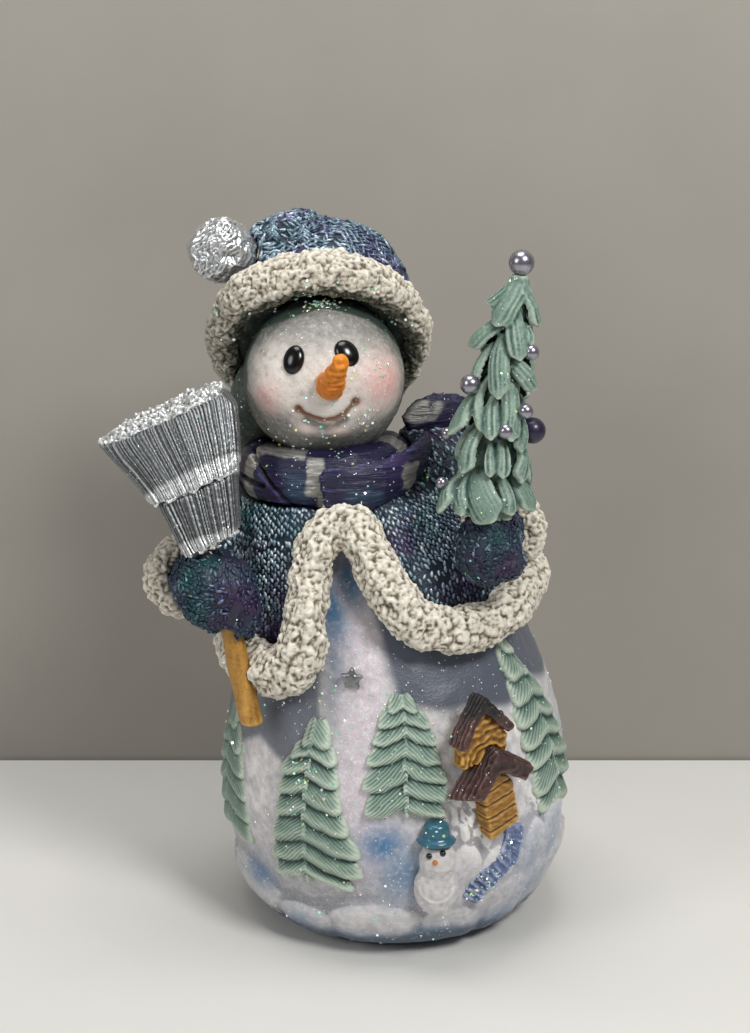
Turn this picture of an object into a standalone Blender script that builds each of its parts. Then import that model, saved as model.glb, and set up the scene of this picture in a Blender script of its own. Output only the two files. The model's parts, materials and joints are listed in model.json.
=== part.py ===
"""Snowman figurine in cast, hand-painted resin: a bell-shaped snow body with a winter scene in low relief,
a head in a fur-brimmed knitted hat, a scarf, a fur-edged coat, a broom in one mitten and a little tree in
the other. Metres, +Z up; the figure faces -Y, and the origin is the middle of the flat underside."""

import math

import bmesh
import bpy
from mathutils import Matrix, Vector, noise

MM = 0.001
GAP = 0.3 * MM


def mm(x, y, z):
    return Vector((x, y, z)) * MM


# Driving dimensions: the figure stands about 178 mm tall over the bead on its little tree.
BODY_TOP = 105 * MM
LEAN_START = 50 * MM

HEAD_CENTRE = mm(-17.1, -5.0, 137.5)
HEAD_RADIUS = 19.5 * MM
HEAD_ROLL = math.radians(5)

BRIM_CENTRE = mm(-18.5, 1.5, 146.0)
BRIM_REACH = 27.6 * MM
BRIM_TILT = math.radians(52)
BRIM_ROLL = math.radians(4)

SCARF_CENTRE = mm(-16.5, -3.0, 115.5)
SCARF_RADIUS = 21.0 * MM

LEFT_WRIST = mm(-51.0, -14.0, 90.3)
RIGHT_WRIST = mm(26.0, -17.0, 103.5)
LEFT_FIST = mm(-41.4, -31.5, 91.6)
RIGHT_FIST = mm(20.8, -35.5, 103.5)
CUFF_RADIUS = 7.4 * MM
CUFF_FUR = 3.0 * MM

HANDLE_TOP = mm(-41.4, -31.5, 98.5)
HANDLE_END = mm(-34.4, -33.5, 61.8)
HANDLE_WIDTH = 5.0 * MM

TREE_FOOT = mm(20.0, -34.0, 110.5)
TREE_TIP = mm(27.4, -30.0, 164.2)
TOP_BEAD_RADIUS = 2.9 * MM

# Paints: (linear colour, roughness, metallic).
SNOW_PAINT = ((0.62, 0.62, 0.68, 1), 0.5, 0.0)
FACE_PAINT = ((0.72, 0.70, 0.72, 1), 0.45, 0.0)
FUR_PAINT = ((0.70, 0.64, 0.54, 1), 0.8, 0.0)
KNIT_PAINT = ((0.05, 0.09, 0.16, 1), 0.4, 0.5)
MITTEN_PAINT = ((0.04, 0.05, 0.12, 1), 0.45, 0.4)
SCARF_PAINT = ((0.06, 0.045, 0.16, 1), 0.45, 0.2)
LINING_PAINT = ((0.05, 0.08, 0.07, 1), 0.6, 0.0)
SILVER_PAINT = ((0.45, 0.45, 0.47, 1), 0.35, 0.9)
OCHRE_PAINT = ((0.42, 0.22, 0.05, 1), 0.5, 0.0)
LEAF_PAINT = ((0.25, 0.38, 0.32, 1), 0.55, 0.0)
ROOF_PAINT = ((0.07, 0.03, 0.03, 1), 0.55, 0.0)
PATH_PAINT = ((0.20, 0.24, 0.38, 1), 0.55, 0.0)
HAT_PAINT = ((0.03, 0.10, 0.15, 1), 0.4, 0.2)
CARROT_PAINT = ((0.75, 0.19, 0.01, 1), 0.4, 0.0)
EYE_PAINT = ((0.004, 0.004, 0.005, 1), 0.08, 0.0)
BEAD_PAINT = ((0.42, 0.40, 0.47, 1), 0.3, 0.8)
BAUBLE_PAINT = ((0.05, 0.025, 0.11, 1), 0.4, 0.2)


# Modelling helpers.
def clear_scene():
    for obj in list(bpy.data.objects):
        bpy.data.objects.remove(obj, do_unlink=True)


def paint(name, recipe):
    material = bpy.data.materials.get(name)
    if material is None:
        material = bpy.data.materials.new(name)
        material.use_nodes = True
        shader = material.node_tree.nodes["Principled BSDF"]
        shader.inputs["Base Color"].default_value = recipe[0]
        shader.inputs["Roughness"].default_value = recipe[1]
        shader.inputs["Metallic"].default_value = recipe[2]
        material.diffuse_color = recipe[0]
    return material


def shade(mesh):
    mesh.shade_smooth()
    mesh.set_sharp_from_angle(angle=math.radians(38))


def put(name, bm, paint_name, recipe):
    """Makes a node from a bmesh, with its faces pointing out."""
    bmesh.ops.recalc_face_normals(bm, faces=bm.faces)
    if bm.calc_volume(signed=True) < 0:
        bmesh.ops.reverse_faces(bm, faces=bm.faces)
    mesh = bpy.data.meshes.new(name)
    bm.to_mesh(mesh)
    bm.free()
    shade(mesh)
    mesh.materials.append(paint(paint_name, recipe))
    obj = bpy.data.objects.new(name, mesh)
    bpy.context.scene.collection.objects.link(obj)
    return obj


def rounded_path(points, steps):
    """Points on a smooth curve through tuples of numbers, steps to a span."""
    rows = [Vector(point) for point in points]
    ends = [2 * rows[0] - rows[1]] + rows + [2 * rows[-1] - rows[-2]]
    path = []
    for before, start, end, after in zip(ends, ends[1:], ends[2:], ends[3:]):
        for step in range(steps):
            path.append(spline_point(before, start, end, after, step / steps))
    path.append(rows[-1])
    return path


def rounded_loop(points, steps):
    rows = [Vector(point) for point in points]
    count = len(rows)
    path = []
    for i in range(count):
        before, start, end, after = (rows[(i + k) % count] for k in (-1, 0, 1, 2))
        for step in range(steps):
            path.append(spline_point(before, start, end, after, step / steps))
    return path


def spline_point(before, start, end, after, t):
    return 0.5 * (
        2 * start
        + (end - before) * t
        + (2 * before - 5 * start + 4 * end - after) * t * t
        + (3 * start - before - 3 * end + after) * t * t * t
    )


def loft(bm, rings, closed=False):
    """Skins a list of rings, each a list of as many points, and caps both ends unless it closes on itself."""
    first = [bm.verts.new(point) for point in rings[0]]
    for a, b in zip(first, first[1:] + first[:1]):
        bm.edges.new((a, b))
    if not closed:
        bm.faces.new(first)
    ring = first
    for points in rings[1:]:
        ring_edges = [bm.edges.get((a, b)) for a, b in zip(ring, ring[1:] + ring[:1])]
        made = bmesh.ops.extrude_edge_only(bm, edges=ring_edges)["geom"]
        fresh = {v for v in made if isinstance(v, bmesh.types.BMVert)}
        ring = [next(e.other_vert(v) for e in v.link_edges if e.other_vert(v) in fresh) for v in ring]
        for vert, point in zip(ring, points):
            vert.co = point
    if closed:
        for a, b, c, d in zip(ring, ring[1:] + ring[:1], first[1:] + first[:1], first):
            bm.faces.new((a, b, c, d))
    else:
        bm.faces.new(ring)
    return bm


def oval(centre, right, up, half_width, half_height, sides, turn=0.0):
    points = []
    for i in range(sides):
        angle = 2 * math.pi * (i + turn) / sides
        points.append(centre + right * half_width * math.cos(angle) + up * half_height * math.sin(angle))
    return points


def tube_rings(path, sides, side_hint, closed=False):
    """Rings across a path of (x, y, z, half width, half height) rows; half width lies along the hint."""
    rings = []
    count = len(path)
    for i, row in enumerate(path):
        ahead = path[(i + 1) % count] if closed else path[min(i + 1, count - 1)]
        behind = path[i - 1] if closed or i else path[0]
        along = (Vector(ahead[:3]) - Vector(behind[:3])).normalized()
        hint = side_hint(Vector(row[:3])) if callable(side_hint) else side_hint
        across = (hint - along * hint.dot(along)).normalized()
        rings.append(oval(Vector(row[:3]), across, along.cross(across), row[3], row[4], sides))
    return rings


def tube(points, sides, side_hint, steps=3, closed=False):
    """A tube through rows of (x, y, z, half width, half height) in millimetres."""
    rows = [[value * MM for value in point] for point in points]
    path = rounded_loop(rows, steps) if closed else rounded_path(rows, steps)
    bm = bmesh.new()
    loft(bm, tube_rings([list(row) for row in path], sides, side_hint, closed), closed)
    return bm


def ball(centre, radii, segments=16, rings=10, turn=None):
    bm = bmesh.new()
    bmesh.ops.create_uvsphere(bm, u_segments=segments, v_segments=rings, radius=1)
    placed = Matrix.Translation(centre) @ (turn or Matrix.Identity(4)) @ Matrix.Diagonal((*radii, 1))
    bmesh.ops.transform(bm, matrix=placed, verts=bm.verts)
    return bm


def join(first, *others):
    for other in others:
        mesh = bpy.data.meshes.new("part")
        other.to_mesh(mesh)
        other.free()
        first.from_mesh(mesh)
        bpy.data.meshes.remove(mesh)
    return first


def lump(bm, size, depth, seed):
    """Raises and sinks the surface along its normals, in lumps of the size given."""
    bm.normal_update()
    shift = Vector((seed * 7.3, seed * 3.1, seed * 5.7))
    moves = [(v, v.normal * depth * noise.noise(v.co / size + shift)) for v in bm.verts]
    for vert, move in moves:
        vert.co += move
    return bm


def fuse(obj, voxel, share, smoothing=6):
    """Melts overlapping forms into one skin, then thins it to a share of its faces."""
    remesh = obj.modifiers.new("fuse", "REMESH")
    remesh.mode = "VOXEL"
    remesh.voxel_size = voxel
    smooth = obj.modifiers.new("smooth", "SMOOTH")
    smooth.iterations = smoothing
    thin = obj.modifiers.new("thin", "DECIMATE")
    thin.ratio = share
    bake(obj)


def bake(obj):
    bpy.context.view_layer.update()
    graph = bpy.context.evaluated_depsgraph_get()
    mesh = bpy.data.meshes.new_from_object(obj.evaluated_get(graph))
    old = obj.data
    obj.modifiers.clear()
    obj.data = mesh
    bpy.data.meshes.remove(old)
    mesh.name = obj.name
    shade(mesh)


def swollen(obj, gap):
    """A hidden copy of a solid, grown outwards by the gap, to cut its neighbours with."""
    bm = bmesh.new()
    bm.from_mesh(obj.data)
    bm.normal_update()
    moves = [(v, v.normal * gap * min(v.calc_shell_factor(), 1.6)) for v in bm.verts]
    for vert, move in moves:
        vert.co += move
    mesh = bpy.data.meshes.new(obj.name + "_cutter")
    bm.to_mesh(mesh)
    bm.free()
    cutter = bpy.data.objects.new(obj.name + "_cutter", mesh)
    bpy.context.scene.collection.objects.link(cutter)
    cutter.hide_render = True
    cutter.display_type = "WIRE"
    return cutter


def cut(target, *neighbours, gap=GAP):
    """Cuts each neighbour out of the target, with the gap that painted castings keep here."""
    for neighbour in neighbours:
        if neighbour.name + "_cutter" not in bpy.data.objects:
            swollen(neighbour, gap * 1.2)
        boolean = target.modifiers.new("clear_" + neighbour.name, "BOOLEAN")
        boolean.operation = "DIFFERENCE"
        boolean.object = bpy.data.objects[neighbour.name + "_cutter"]


def prism(name, outline, near, far):
    """A hidden cutter: an outline of (x, z) points in millimetres, from one depth in Y to another."""
    bm = bmesh.new()
    face = bm.faces.new([bm.verts.new(mm(x, near, z)) for x, z in outline])
    made = bmesh.ops.extrude_face_region(bm, geom=[face])["geom"]
    moved = [v for v in made if isinstance(v, bmesh.types.BMVert)]
    bmesh.ops.translate(bm, verts=moved, vec=mm(0, far - near, 0))
    obj = put(name, bm, "cutter", SNOW_PAINT)
    obj.hide_render = True
    obj.display_type = "WIRE"
    return obj


# The snow body: a turned bell that leans a little, with a bank of snow round its foot.
BODY_PROFILE = [
    (0, 29.5),
    (2.2, 31.8),
    (5, 35.2),
    (9, 37.8),
    (14, 39.9),
    (20, 41.9),
    (28, 43.4),
    (36, 43.8),
    (46, 43.2),
    (56, 41.2),
    (66, 38.4),
    (76, 34.8),
    (86, 30.6),
    (95, 26.4),
    (101, 22.6),
    (104, 17.0),
]
BODY_SIDES = 32


def profile_radius(height):
    """The bell's radius at a height, both in metres."""
    z = height / MM
    for (z0, r0), (z1, r1) in zip(BODY_PROFILE, BODY_PROFILE[1:]):
        if z <= z1:
            return (r0 + (r1 - r0) * (z - z0) / (z1 - z0)) * MM
    return BODY_PROFILE[-1][1] * MM


def lean(height):
    """How far the bell's axis has moved to the figure's right hand at a height."""
    above = max(height - LEAN_START, 0) / MM
    return -0.0035 * above * above * MM


def drift(angle, height):
    """The snow that stands out from the bell: a soft fold down the front and the bank round the foot."""
    z = height / MM
    fold = math.exp(-((math.degrees(angle) + 12) / 9) ** 2) * min(max((z - 22) / 20, 0), 1)
    hillside = math.exp(-(((math.degrees(angle) - 38) / 16) ** 2)) * math.exp(-(((z - 27) / 7) ** 2))
    bank_top = 17 + 4 * math.sin(1.5 * angle) + 1.5 * math.sin(5 * angle + 1)
    bank = 1 / (1 + math.exp((z - bank_top) / 1.2)) * min(z / 4, 1)
    return (1.1 * fold + 1.2 * hillside + 1.0 * bank) * MM


def on_body(angle, height, lift=0.0):
    """A point on the body at an angle from the front (towards +X) and a height, raised off it by the lift."""
    radius = profile_radius(height) + drift(angle, height) + lift
    return Vector((lean(height) + radius * math.sin(angle), -radius * math.cos(angle), height))


def snow_body():
    bm = bmesh.new()
    rings = []
    for z, _ in BODY_PROFILE:
        angles = [2 * math.pi * i / BODY_SIDES for i in range(BODY_SIDES)]
        rings.append([on_body(angle, z * MM) for angle in angles])
    top = Vector((lean(BODY_TOP), 0, BODY_TOP))
    rings.append([top.lerp(point, 0.45) + Vector((0, 0, 0.1 * MM)) for point in rings[-1]])
    loft(bm, rings)
    return put("snow_body", bm, "snow", SNOW_PAINT)


def body_room():
    """A plain bell just outside the body, which hollows the coat and its fur."""
    sides = 20
    bm = bmesh.new()
    rings = []
    for z in (40, 56, 66, 76, 86, 95, 101, 104.3):
        lift = 0.9 * MM + drift(math.radians(-12), z * MM)
        ring = []
        for i in range(sides):
            angle = 2 * math.pi * i / sides
            radius = profile_radius(z * MM) + lift
            ring.append(Vector((lean(z * MM) + radius * math.sin(angle), -radius * math.cos(angle), z * MM)))
        rings.append(ring)
    top = Vector((lean(BODY_TOP), 0, BODY_TOP + 0.9 * MM))
    rings.append([top.lerp(point, 0.6) for point in rings[-1]])
    loft(bm, rings)
    obj = put("body_room", bm, "snow", SNOW_PAINT)
    obj.hide_render = True
    obj.display_type = "WIRE"
    return obj


def hollow(target, cutter):
    boolean = target.modifiers.new("hollow_" + cutter.name, "BOOLEAN")
    boolean.operation = "DIFFERENCE"
    boolean.object = cutter


# Head and face.
def on_face(yaw, pitch, lift=0.0):
    """A point on the head at angles right of and above its front, in degrees before the head's roll."""
    a, b = math.radians(yaw), math.radians(pitch)
    out = Vector((math.sin(a) * math.cos(b), -math.cos(a) * math.cos(b), math.sin(b)))
    out.rotate(Matrix.Rotation(-HEAD_ROLL, 3, "Y"))
    return HEAD_CENTRE + out * (HEAD_RADIUS + lift)


def face():
    head = put("head", ball(HEAD_CENTRE, [HEAD_RADIUS] * 3, 20, 12), "face", FACE_PAINT)
    eyes = []
    for name, yaw, pitch, tilt in (("left_eye", -18, 23, 10), ("right_eye", 22, 21, -32)):
        centre = on_face(yaw, pitch, -0.5 * MM)
        facing = (centre - HEAD_CENTRE).to_track_quat("Z", "Y").to_matrix().to_4x4()
        turn = facing @ Matrix.Rotation(math.radians(tilt), 4, "Z")
        eyes.append(put(name, ball(centre, mm(2.5, 3.4, 1.5), 10, 7, turn), "eye", EYE_PAINT))
    nose_points = [
        (-15.3, -22.0, 138.4, 3.3, 3.5),
        (-15.1, -25.0, 138.9, 3.4, 3.5),
        (-14.4, -28.6, 140.6, 2.9, 3.0),
        (-13.2, -31.8, 143.4, 2.2, 2.3),
        (-12.1, -34.6, 146.4, 1.6, 1.6),
        (-11.8, -35.6, 147.5, 0.7, 0.7),
    ]
    nose = put("carrot_nose", tube(nose_points, 10, Vector((1, 0, 0)), 1), "carrot", CARROT_PAINT)
    cut(nose, head)
    for eye in eyes:
        cut(eye, head, nose)
    return head


# Hat.
def brim_frame():
    """The brim's own axes: right, towards its raised front, and out of its top."""
    right = Vector((math.cos(BRIM_ROLL), 0, math.sin(BRIM_ROLL)))
    front = Vector((0, -math.cos(BRIM_TILT), math.sin(BRIM_TILT)))
    front = (front - right * front.dot(right)).normalized()
    return right, front, right.cross(front) * -1


def brim_point(angle, radius, rise=0.0):
    right, front, top = brim_frame()
    return BRIM_CENTRE + right * radius * math.cos(angle) + front * radius * math.sin(angle) + top * rise


def hat(head):
    right, front, top = brim_frame()
    fur = bmesh.new()
    rows = []
    count = 30
    for i in range(count):
        angle = 2 * math.pi * i / count
        thick = (3.3 + 1.9 * max(math.sin(angle), 0)) * MM
        rows.append([*brim_point(angle, BRIM_REACH - thick), thick, thick])
    loft(fur, tube_rings(rows, 8, top, True), True)
    lump(fur, 5 * MM, 1.0 * MM, 1)
    fur = put("hat_fur", fur, "fur", FUR_PAINT)

    lining = bmesh.new()
    rings = [
        oval(brim_point(0, 0, rise * MM), right, front, size * MM, size * MM, 26)
        for rise, size in ((1.6, 14.0), (-0.8, 22.8), (1.0, 24.0), (2.5, 23.0))
    ]
    loft(lining, rings)
    lining = put("hat_lining", lining, "lining", LINING_PAINT)

    crown = bmesh.new()
    rings = [
        oval(brim_point(0, 0, rise * MM), right, front, size * MM, size * MM, 24)
        for rise, size in ((2.9, 21.5), (6.0, 22.2), (12.0, 20.5), (18.0, 14.0))
    ]
    loft(crown, rings)
    dome = ball(mm(-15.2, 7.5, 155.3), mm(19.2, 17.5, 19.4), 20, 12)
    bunch = ball(mm(-24.3, 6.0, 170.2), mm(7.5, 7.5, 7.6), 12, 8)
    tail_points = [(-25, 5, 171, 6.5, 6), (-31, 3.5, 170.2, 5, 4.6), (-37.5, 2.5, 168, 3.8, 3.6)]
    join(crown, dome, bunch, tube(tail_points, 10, Vector((0, 1, 0)), 2))
    crown = put("hat_crown", crown, "knit", KNIT_PAINT)
    fuse(crown, 1.6 * MM, 0.05)

    pompom = lump(ball(mm(-41.4, 2.0, 167.4), mm(9.0, 8.4, 7.8), 14, 9), 5 * MM, 1.6 * MM, 2)
    pompom = put("pompom", pompom, "silver", SILVER_PAINT)
    cut(lining, fur, head)
    floor = brim_slab("brim_floor", right, front)
    hollow(crown, floor)
    cut(crown, fur, head, pompom)


def brim_slab(name, right, front):
    """A hidden disc under the crown, so that the crown starts just above the lining."""
    bm = bmesh.new()
    rings = [oval(brim_point(0, 0, rise * MM), right, front, 34 * MM, 34 * MM, 16) for rise in (-30, 2.85)]
    loft(bm, rings)
    obj = put(name, bm, "lining", LINING_PAINT)
    obj.hide_render = True
    obj.display_type = "WIRE"
    return obj


# Scarf.
def scarf(head):
    bm = bmesh.new()
    right, back = Vector((1, 0, 0)), Vector((0, 1, 0))
    rings = []
    for rise, share in ((-6.8, 0.80), (-5.6, 0.97), (-1.5, 1.03), (3.0, 1.0), (5.8, 0.93), (7.2, 0.80)):
        centre = SCARF_CENTRE + Vector((0, 0, rise * MM))
        rings.append(oval(centre, right, back, SCARF_RADIUS * share, SCARF_RADIUS * share, 26))
    loft(bm, rings)
    wrap = put("scarf_wrap", bm, "scarf", SCARF_PAINT)

    overlap_points = [
        (-17.2, -26.2, 113.6, 1.2, 5.2),
        (-14.0, -26.6, 114.2, 1.6, 6.0),
        (-7.0, -25.2, 115.0, 1.7, 6.0),
        (0.5, -20.0, 116.6, 1.7, 5.4),
        (6.0, -12.0, 119.4, 1.7, 4.6),
        (7.8, -6.0, 121.6, 1.4, 3.6),
    ]
    overlap = put("scarf_overlap", tube(overlap_points, 8, scarf_outward, 2), "scarf", SCARF_PAINT)
    tail_points = [
        (3.6, 1.0, 124.0, 1.6, 4.2),
        (7.0, 3.0, 126.4, 1.7, 5.0),
        (12.0, 5.5, 127.4, 1.7, 5.2),
        (18.0, 9.0, 125.6, 1.7, 5.0),
        (23.0, 12.0, 121.6, 1.6, 4.8),
    ]
    tail = put("scarf_tail", tube(tail_points, 8, Vector((0, 1, 0.15)), 2), "scarf", SCARF_PAINT)
    cut(wrap, head, overlap, tail)
    cut(overlap, head)
    return wrap, overlap, tail


def scarf_outward(point):
    away = point - SCARF_CENTRE
    return Vector((away.x, away.y, 0)).normalized()


# Coat.
COAT_SECTIONS = [
    # height, middle x, half width, half depth
    (70, -3.4, 37.0, 39.5),
    (77, -3.4, 36.6, 38.6),
    (85, -4.6, 35.6, 36.4),
    (93, -6.4, 33.4, 33.2),
    (101, -8.8, 30.6, 29.4),
    (108, -11.4, 27.0, 25.2),
    (114, -13.6, 22.0, 20.0),
    (118, -15.0, 15.0, 14.0),
]
FRONT_OPENING = [
    # x, z: up the left edge to the point, and down the right edge
    (-22.0, 58),
    (-21.6, 79),
    (-20.4, 92),
    (-12.4, 107),
    (-6.4, 98.5),
    (0, 89.5),
    (7.5, 84.0),
    (8, 58),
]
BELOW_HEM = [
    # x, z: the hem runs lower at the figure's right hand
    (-70, 55),
    (60, 55),
    (60, 90),
    (24, 83.5),
    (-4, 77.5),
    (-24, 73.5),
    (-70, 73.5),
]


def coat(scarf_pieces, room):
    bm = bmesh.new()
    right, back = Vector((1, 0, 0)), Vector((0, 1, 0))
    rings = []
    for z, middle, half_width, half_depth in COAT_SECTIONS:
        rings.append(oval(mm(middle, -1, z), right, back, half_width * MM, half_depth * MM, 28))
    loft(bm, rings)
    left_sleeve = [
        (-20, 0, 108, 11, 12),
        (-34, 1.5, 102, 11, 11.5),
        (-45.5, -1, 94.5, 10, 9.5),
        (-50.2, -8, 91, 9, 9),
        (-51, -12.6, 90.4, 8.2, 8.2),
    ]
    right_sleeve = [
        (0, 1, 113, 11, 11),
        (13, 2, 113.5, 11, 10.5),
        (22.5, -4, 108.5, 10, 10),
        (25.6, -10, 105, 9, 9),
        (26, -15.4, 103.6, 8.2, 8.2),
    ]
    join(bm, tube(left_sleeve, 14, Vector((0, 1, 0.3)), 2), tube(right_sleeve, 14, Vector((0, 1, 0.3)), 2))
    jacket = put("coat", bm, "knit", KNIT_PAINT)
    fuse(jacket, 2.2 * MM, 0.04)
    hem = prism("below_hem", BELOW_HEM, -70, 70)
    opening = prism("front_opening", FRONT_OPENING, -70, 0)
    hollow(jacket, hem)
    hollow(jacket, opening)
    hollow(jacket, room)
    cut(jacket, *scarf_pieces)
    return jacket


FUR_LOOP = [
    # x, y, z, radius: from the point of the opening, down the left front and round the hem
    (-12.8, -25.6, 109.0, 4.6),
    (-17.0, -27.8, 104.4, 5.0),
    (-19.6, -30.6, 97.8, 5.1),
    (-20.6, -33.6, 89.4, 5.1),
    (-21.4, -35.8, 80.6, 5.6),
    (-23.6, -35.0, 73.8, 6.4),
    (-30.0, -30.4, 71.8, 6.4),
    (-36.0, -22.0, 72.6, 6.0),
    (-39.4, -8.0, 74.0, 5.4),
    (-39.4, 6.0, 75.0, 5.2),
    (-35.0, 20.0, 76.0, 5.2),
    (-22.0, 32.6, 77.4, 5.2),
    (-4.0, 36.6, 79.2, 5.2),
    (13.0, 32.8, 81.2, 5.2),
    (25.0, 22.4, 83.4, 5.2),
    (31.4, 8.0, 86.0, 5.0),
    (33.2, -6.0, 90.4, 4.8),
    (32.0, -17.0, 90.2, 5.0),
    (27.4, -25.2, 85.8, 5.2),
    (20.0, -30.4, 82.6, 5.4),
    (12.0, -34.2, 82.8, 5.4),
    (4.6, -36.0, 85.8, 5.4),
    (-1.0, -35.0, 91.8, 5.5),
    (-5.0, -31.6, 98.6, 5.5),
    (-8.4, -27.6, 105.4, 5.3),
]


def coat_fur(room):
    rows = [(x, y, z, radius, radius) for x, y, z, radius in FUR_LOOP]
    bm = tube(rows, 8, lambda point: Vector((point.x, point.y, 0)).normalized(), 3, closed=True)
    lump(bm, 6 * MM, 1.6 * MM, 3)
    fur = put("coat_fur", bm, "fur", FUR_PAINT)
    fuse(fur, 1.5 * MM, 0.038, 3)
    hollow(fur, room)
    return fur


def cuffs():
    made = []
    arms = (("left", LEFT_WRIST, LEFT_FIST, 4), ("right", RIGHT_WRIST, RIGHT_FIST, 5))
    for name, wrist, fist, seed in arms:
        axis = (fist - wrist).normalized()
        side = axis.cross(Vector((0, 0, 1))).normalized()
        rise = side.cross(axis)
        rows = []
        for i in range(16):
            angle = 2 * math.pi * i / 16
            spot = wrist + (side * math.cos(angle) + rise * math.sin(angle)) * CUFF_RADIUS
            rows.append([*spot, CUFF_FUR, CUFF_FUR])
        bm = loft(bmesh.new(), tube_rings(rows, 6, axis, True), True)
        lump(bm, 4 * MM, 0.8 * MM, seed)
        made.append(put(name + "_cuff", bm, "fur", FUR_PAINT))
    return made


def mittens():
    left = ball(LEFT_FIST, mm(9.8, 8.6, 9.8), 18, 12)
    wrist = [(-50.5, -13.2, 90.4, 4.6, 4.6), (-48, -20, 90.6, 6.0, 7.0), (-44, -27, 91, 7.0, 8.4)]
    thumb = ball(mm(-35.4, -33.0, 87.2), mm(4.6, 5.0, 7.4), 12, 8)
    join(left, tube(wrist, 12, Vector((1, 0, 0)), 2), thumb)
    left = put("left_mitten", left, "mitten", MITTEN_PAINT)
    fuse(left, 1.2 * MM, 0.045)
    right = ball(RIGHT_FIST, mm(7.6, 7.0, 9.4), 18, 12)
    wrist = [(25.8, -18, 103.5, 4.6, 4.6), (24.6, -24, 103.5, 5.6, 7.0), (22.6, -30, 103.5, 6.4, 8.4)]
    thumb = ball(mm(27.0, -37.0, 100.6), mm(3.2, 3.6, 5.0), 12, 8)
    join(right, tube(wrist, 12, Vector((1, 0, 0)), 2), thumb)
    right = put("right_mitten", right, "mitten", MITTEN_PAINT)
    fuse(right, 1.2 * MM, 0.08)
    return left, right


# Broom.
def bristle_rings(stations, sides):
    """Rings of a flattened bundle: stations are (middle, half width, half depth, rise to the right)."""
    rings = []
    for middle, half_width, half_depth, slope in stations:
        right = Vector((math.cos(math.radians(slope)), 0, math.sin(math.radians(slope))))
        back = Vector((0, 1, 0.18)).normalized()
        ring = []
        for i in range(sides):
            angle = 2 * math.pi * i / sides
            ridge = 1 + 0.05 * (-1) ** i
            across = math.copysign(abs(math.cos(angle)) ** 0.7, math.cos(angle)) * half_width * MM
            depth = math.copysign(abs(math.sin(angle)) ** 0.8, math.sin(angle)) * half_depth * MM * ridge
            ring.append(middle + right * across + back * depth)
        rings.append(ring)
    return rings


def broom():
    lower = [
        (mm(-42.3, -31.5, 104.0), 7.3, 4.6, 28),
        (mm(-44.2, -29.0, 110.6), 8.8, 5.2, 26),
        (mm(-46.0, -26.6, 116.6), 10.3, 5.8, 24),
    ]
    upper = [
        (mm(-46.4, -26.4, 116.8), 11.5, 6.8, 24),
        (mm(-49.0, -23.6, 122.8), 13.8, 7.2, 23),
        (mm(-52.1, -20.6, 128.6), 16.4, 7.6, 23),
        (mm(-53.7, -19.0, 131.8), 17.6, 7.6, 24),
    ]
    bundle = loft(bmesh.new(), bristle_rings(lower, 22))
    bristles = put("broom_lower_bristles", bundle, "silver", SILVER_PAINT)
    bundle = loft(bmesh.new(), bristle_rings(upper, 26))
    head = put("broom_upper_bristles", bundle, "silver", SILVER_PAINT)
    corner_outline = [(-30, 160), (-44.0, 140.8), (-35.4, 132.0), (-34.8, 112), (-10, 112)]
    corner = prism("brush_corner", corner_outline, -60, 20)
    hollow(head, corner)

    axis = HANDLE_END - HANDLE_TOP
    bm = bmesh.new()
    half = HANDLE_WIDTH / 2
    side = Vector((0.85, -0.5, 0)).normalized()
    ends = [HANDLE_TOP, HANDLE_TOP.lerp(HANDLE_END, 0.5), HANDLE_END]
    rings = []
    for spot in ends:
        across = axis.normalized().cross(side).normalized()
        rings.append(oval(spot, side, across, half, half, 8, 0.5))
    loft(bm, rings)
    handle = put("broom_handle", bm, "ochre", OCHRE_PAINT)
    return bristles, head, handle


# Held tree.
TIER_COUNT = 6
TIER_LEAVES = 6
TREE_REACH = 11.6
BEADS = [
    # name, share of the way up the trunk, degrees right of the front, distance out from it, radius
    ("bead_1", 0.70, 47, 6.4, 1.8),
    ("bead_2", 0.565, -65, 8.5, 2.3),
    ("bead_3", 0.468, 33, 9.3, 1.7),
    ("bead_4", 0.341, -98, 11.0, 1.5),
    ("bead_5", 0.386, 9, 8.3, 1.8),
    ("bead_6", 0.149, -76, 11.2, 1.4),
    ("purple_bauble", 0.369, 74, 8.2, 3.0),
]


def tree_point(share, out, angle):
    """A point beside the held tree's trunk: share runs 0 to 1 up the trunk, out is in millimetres."""
    trunk = TREE_FOOT.lerp(TREE_TIP, share)
    return trunk + Vector((math.sin(angle), -math.cos(angle), 0)) * out * MM


def tree_reach(share, angle):
    """How far the leaf tips stand out, in millimetres: further on the left half way up the trunk."""
    left = max(-math.sin(angle), 0) * math.exp(-(((share - 0.65) / 0.4) ** 2))
    return TREE_REACH * max(1 - share, 0.03) ** 0.36 * (1 + 0.33 * left)


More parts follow.
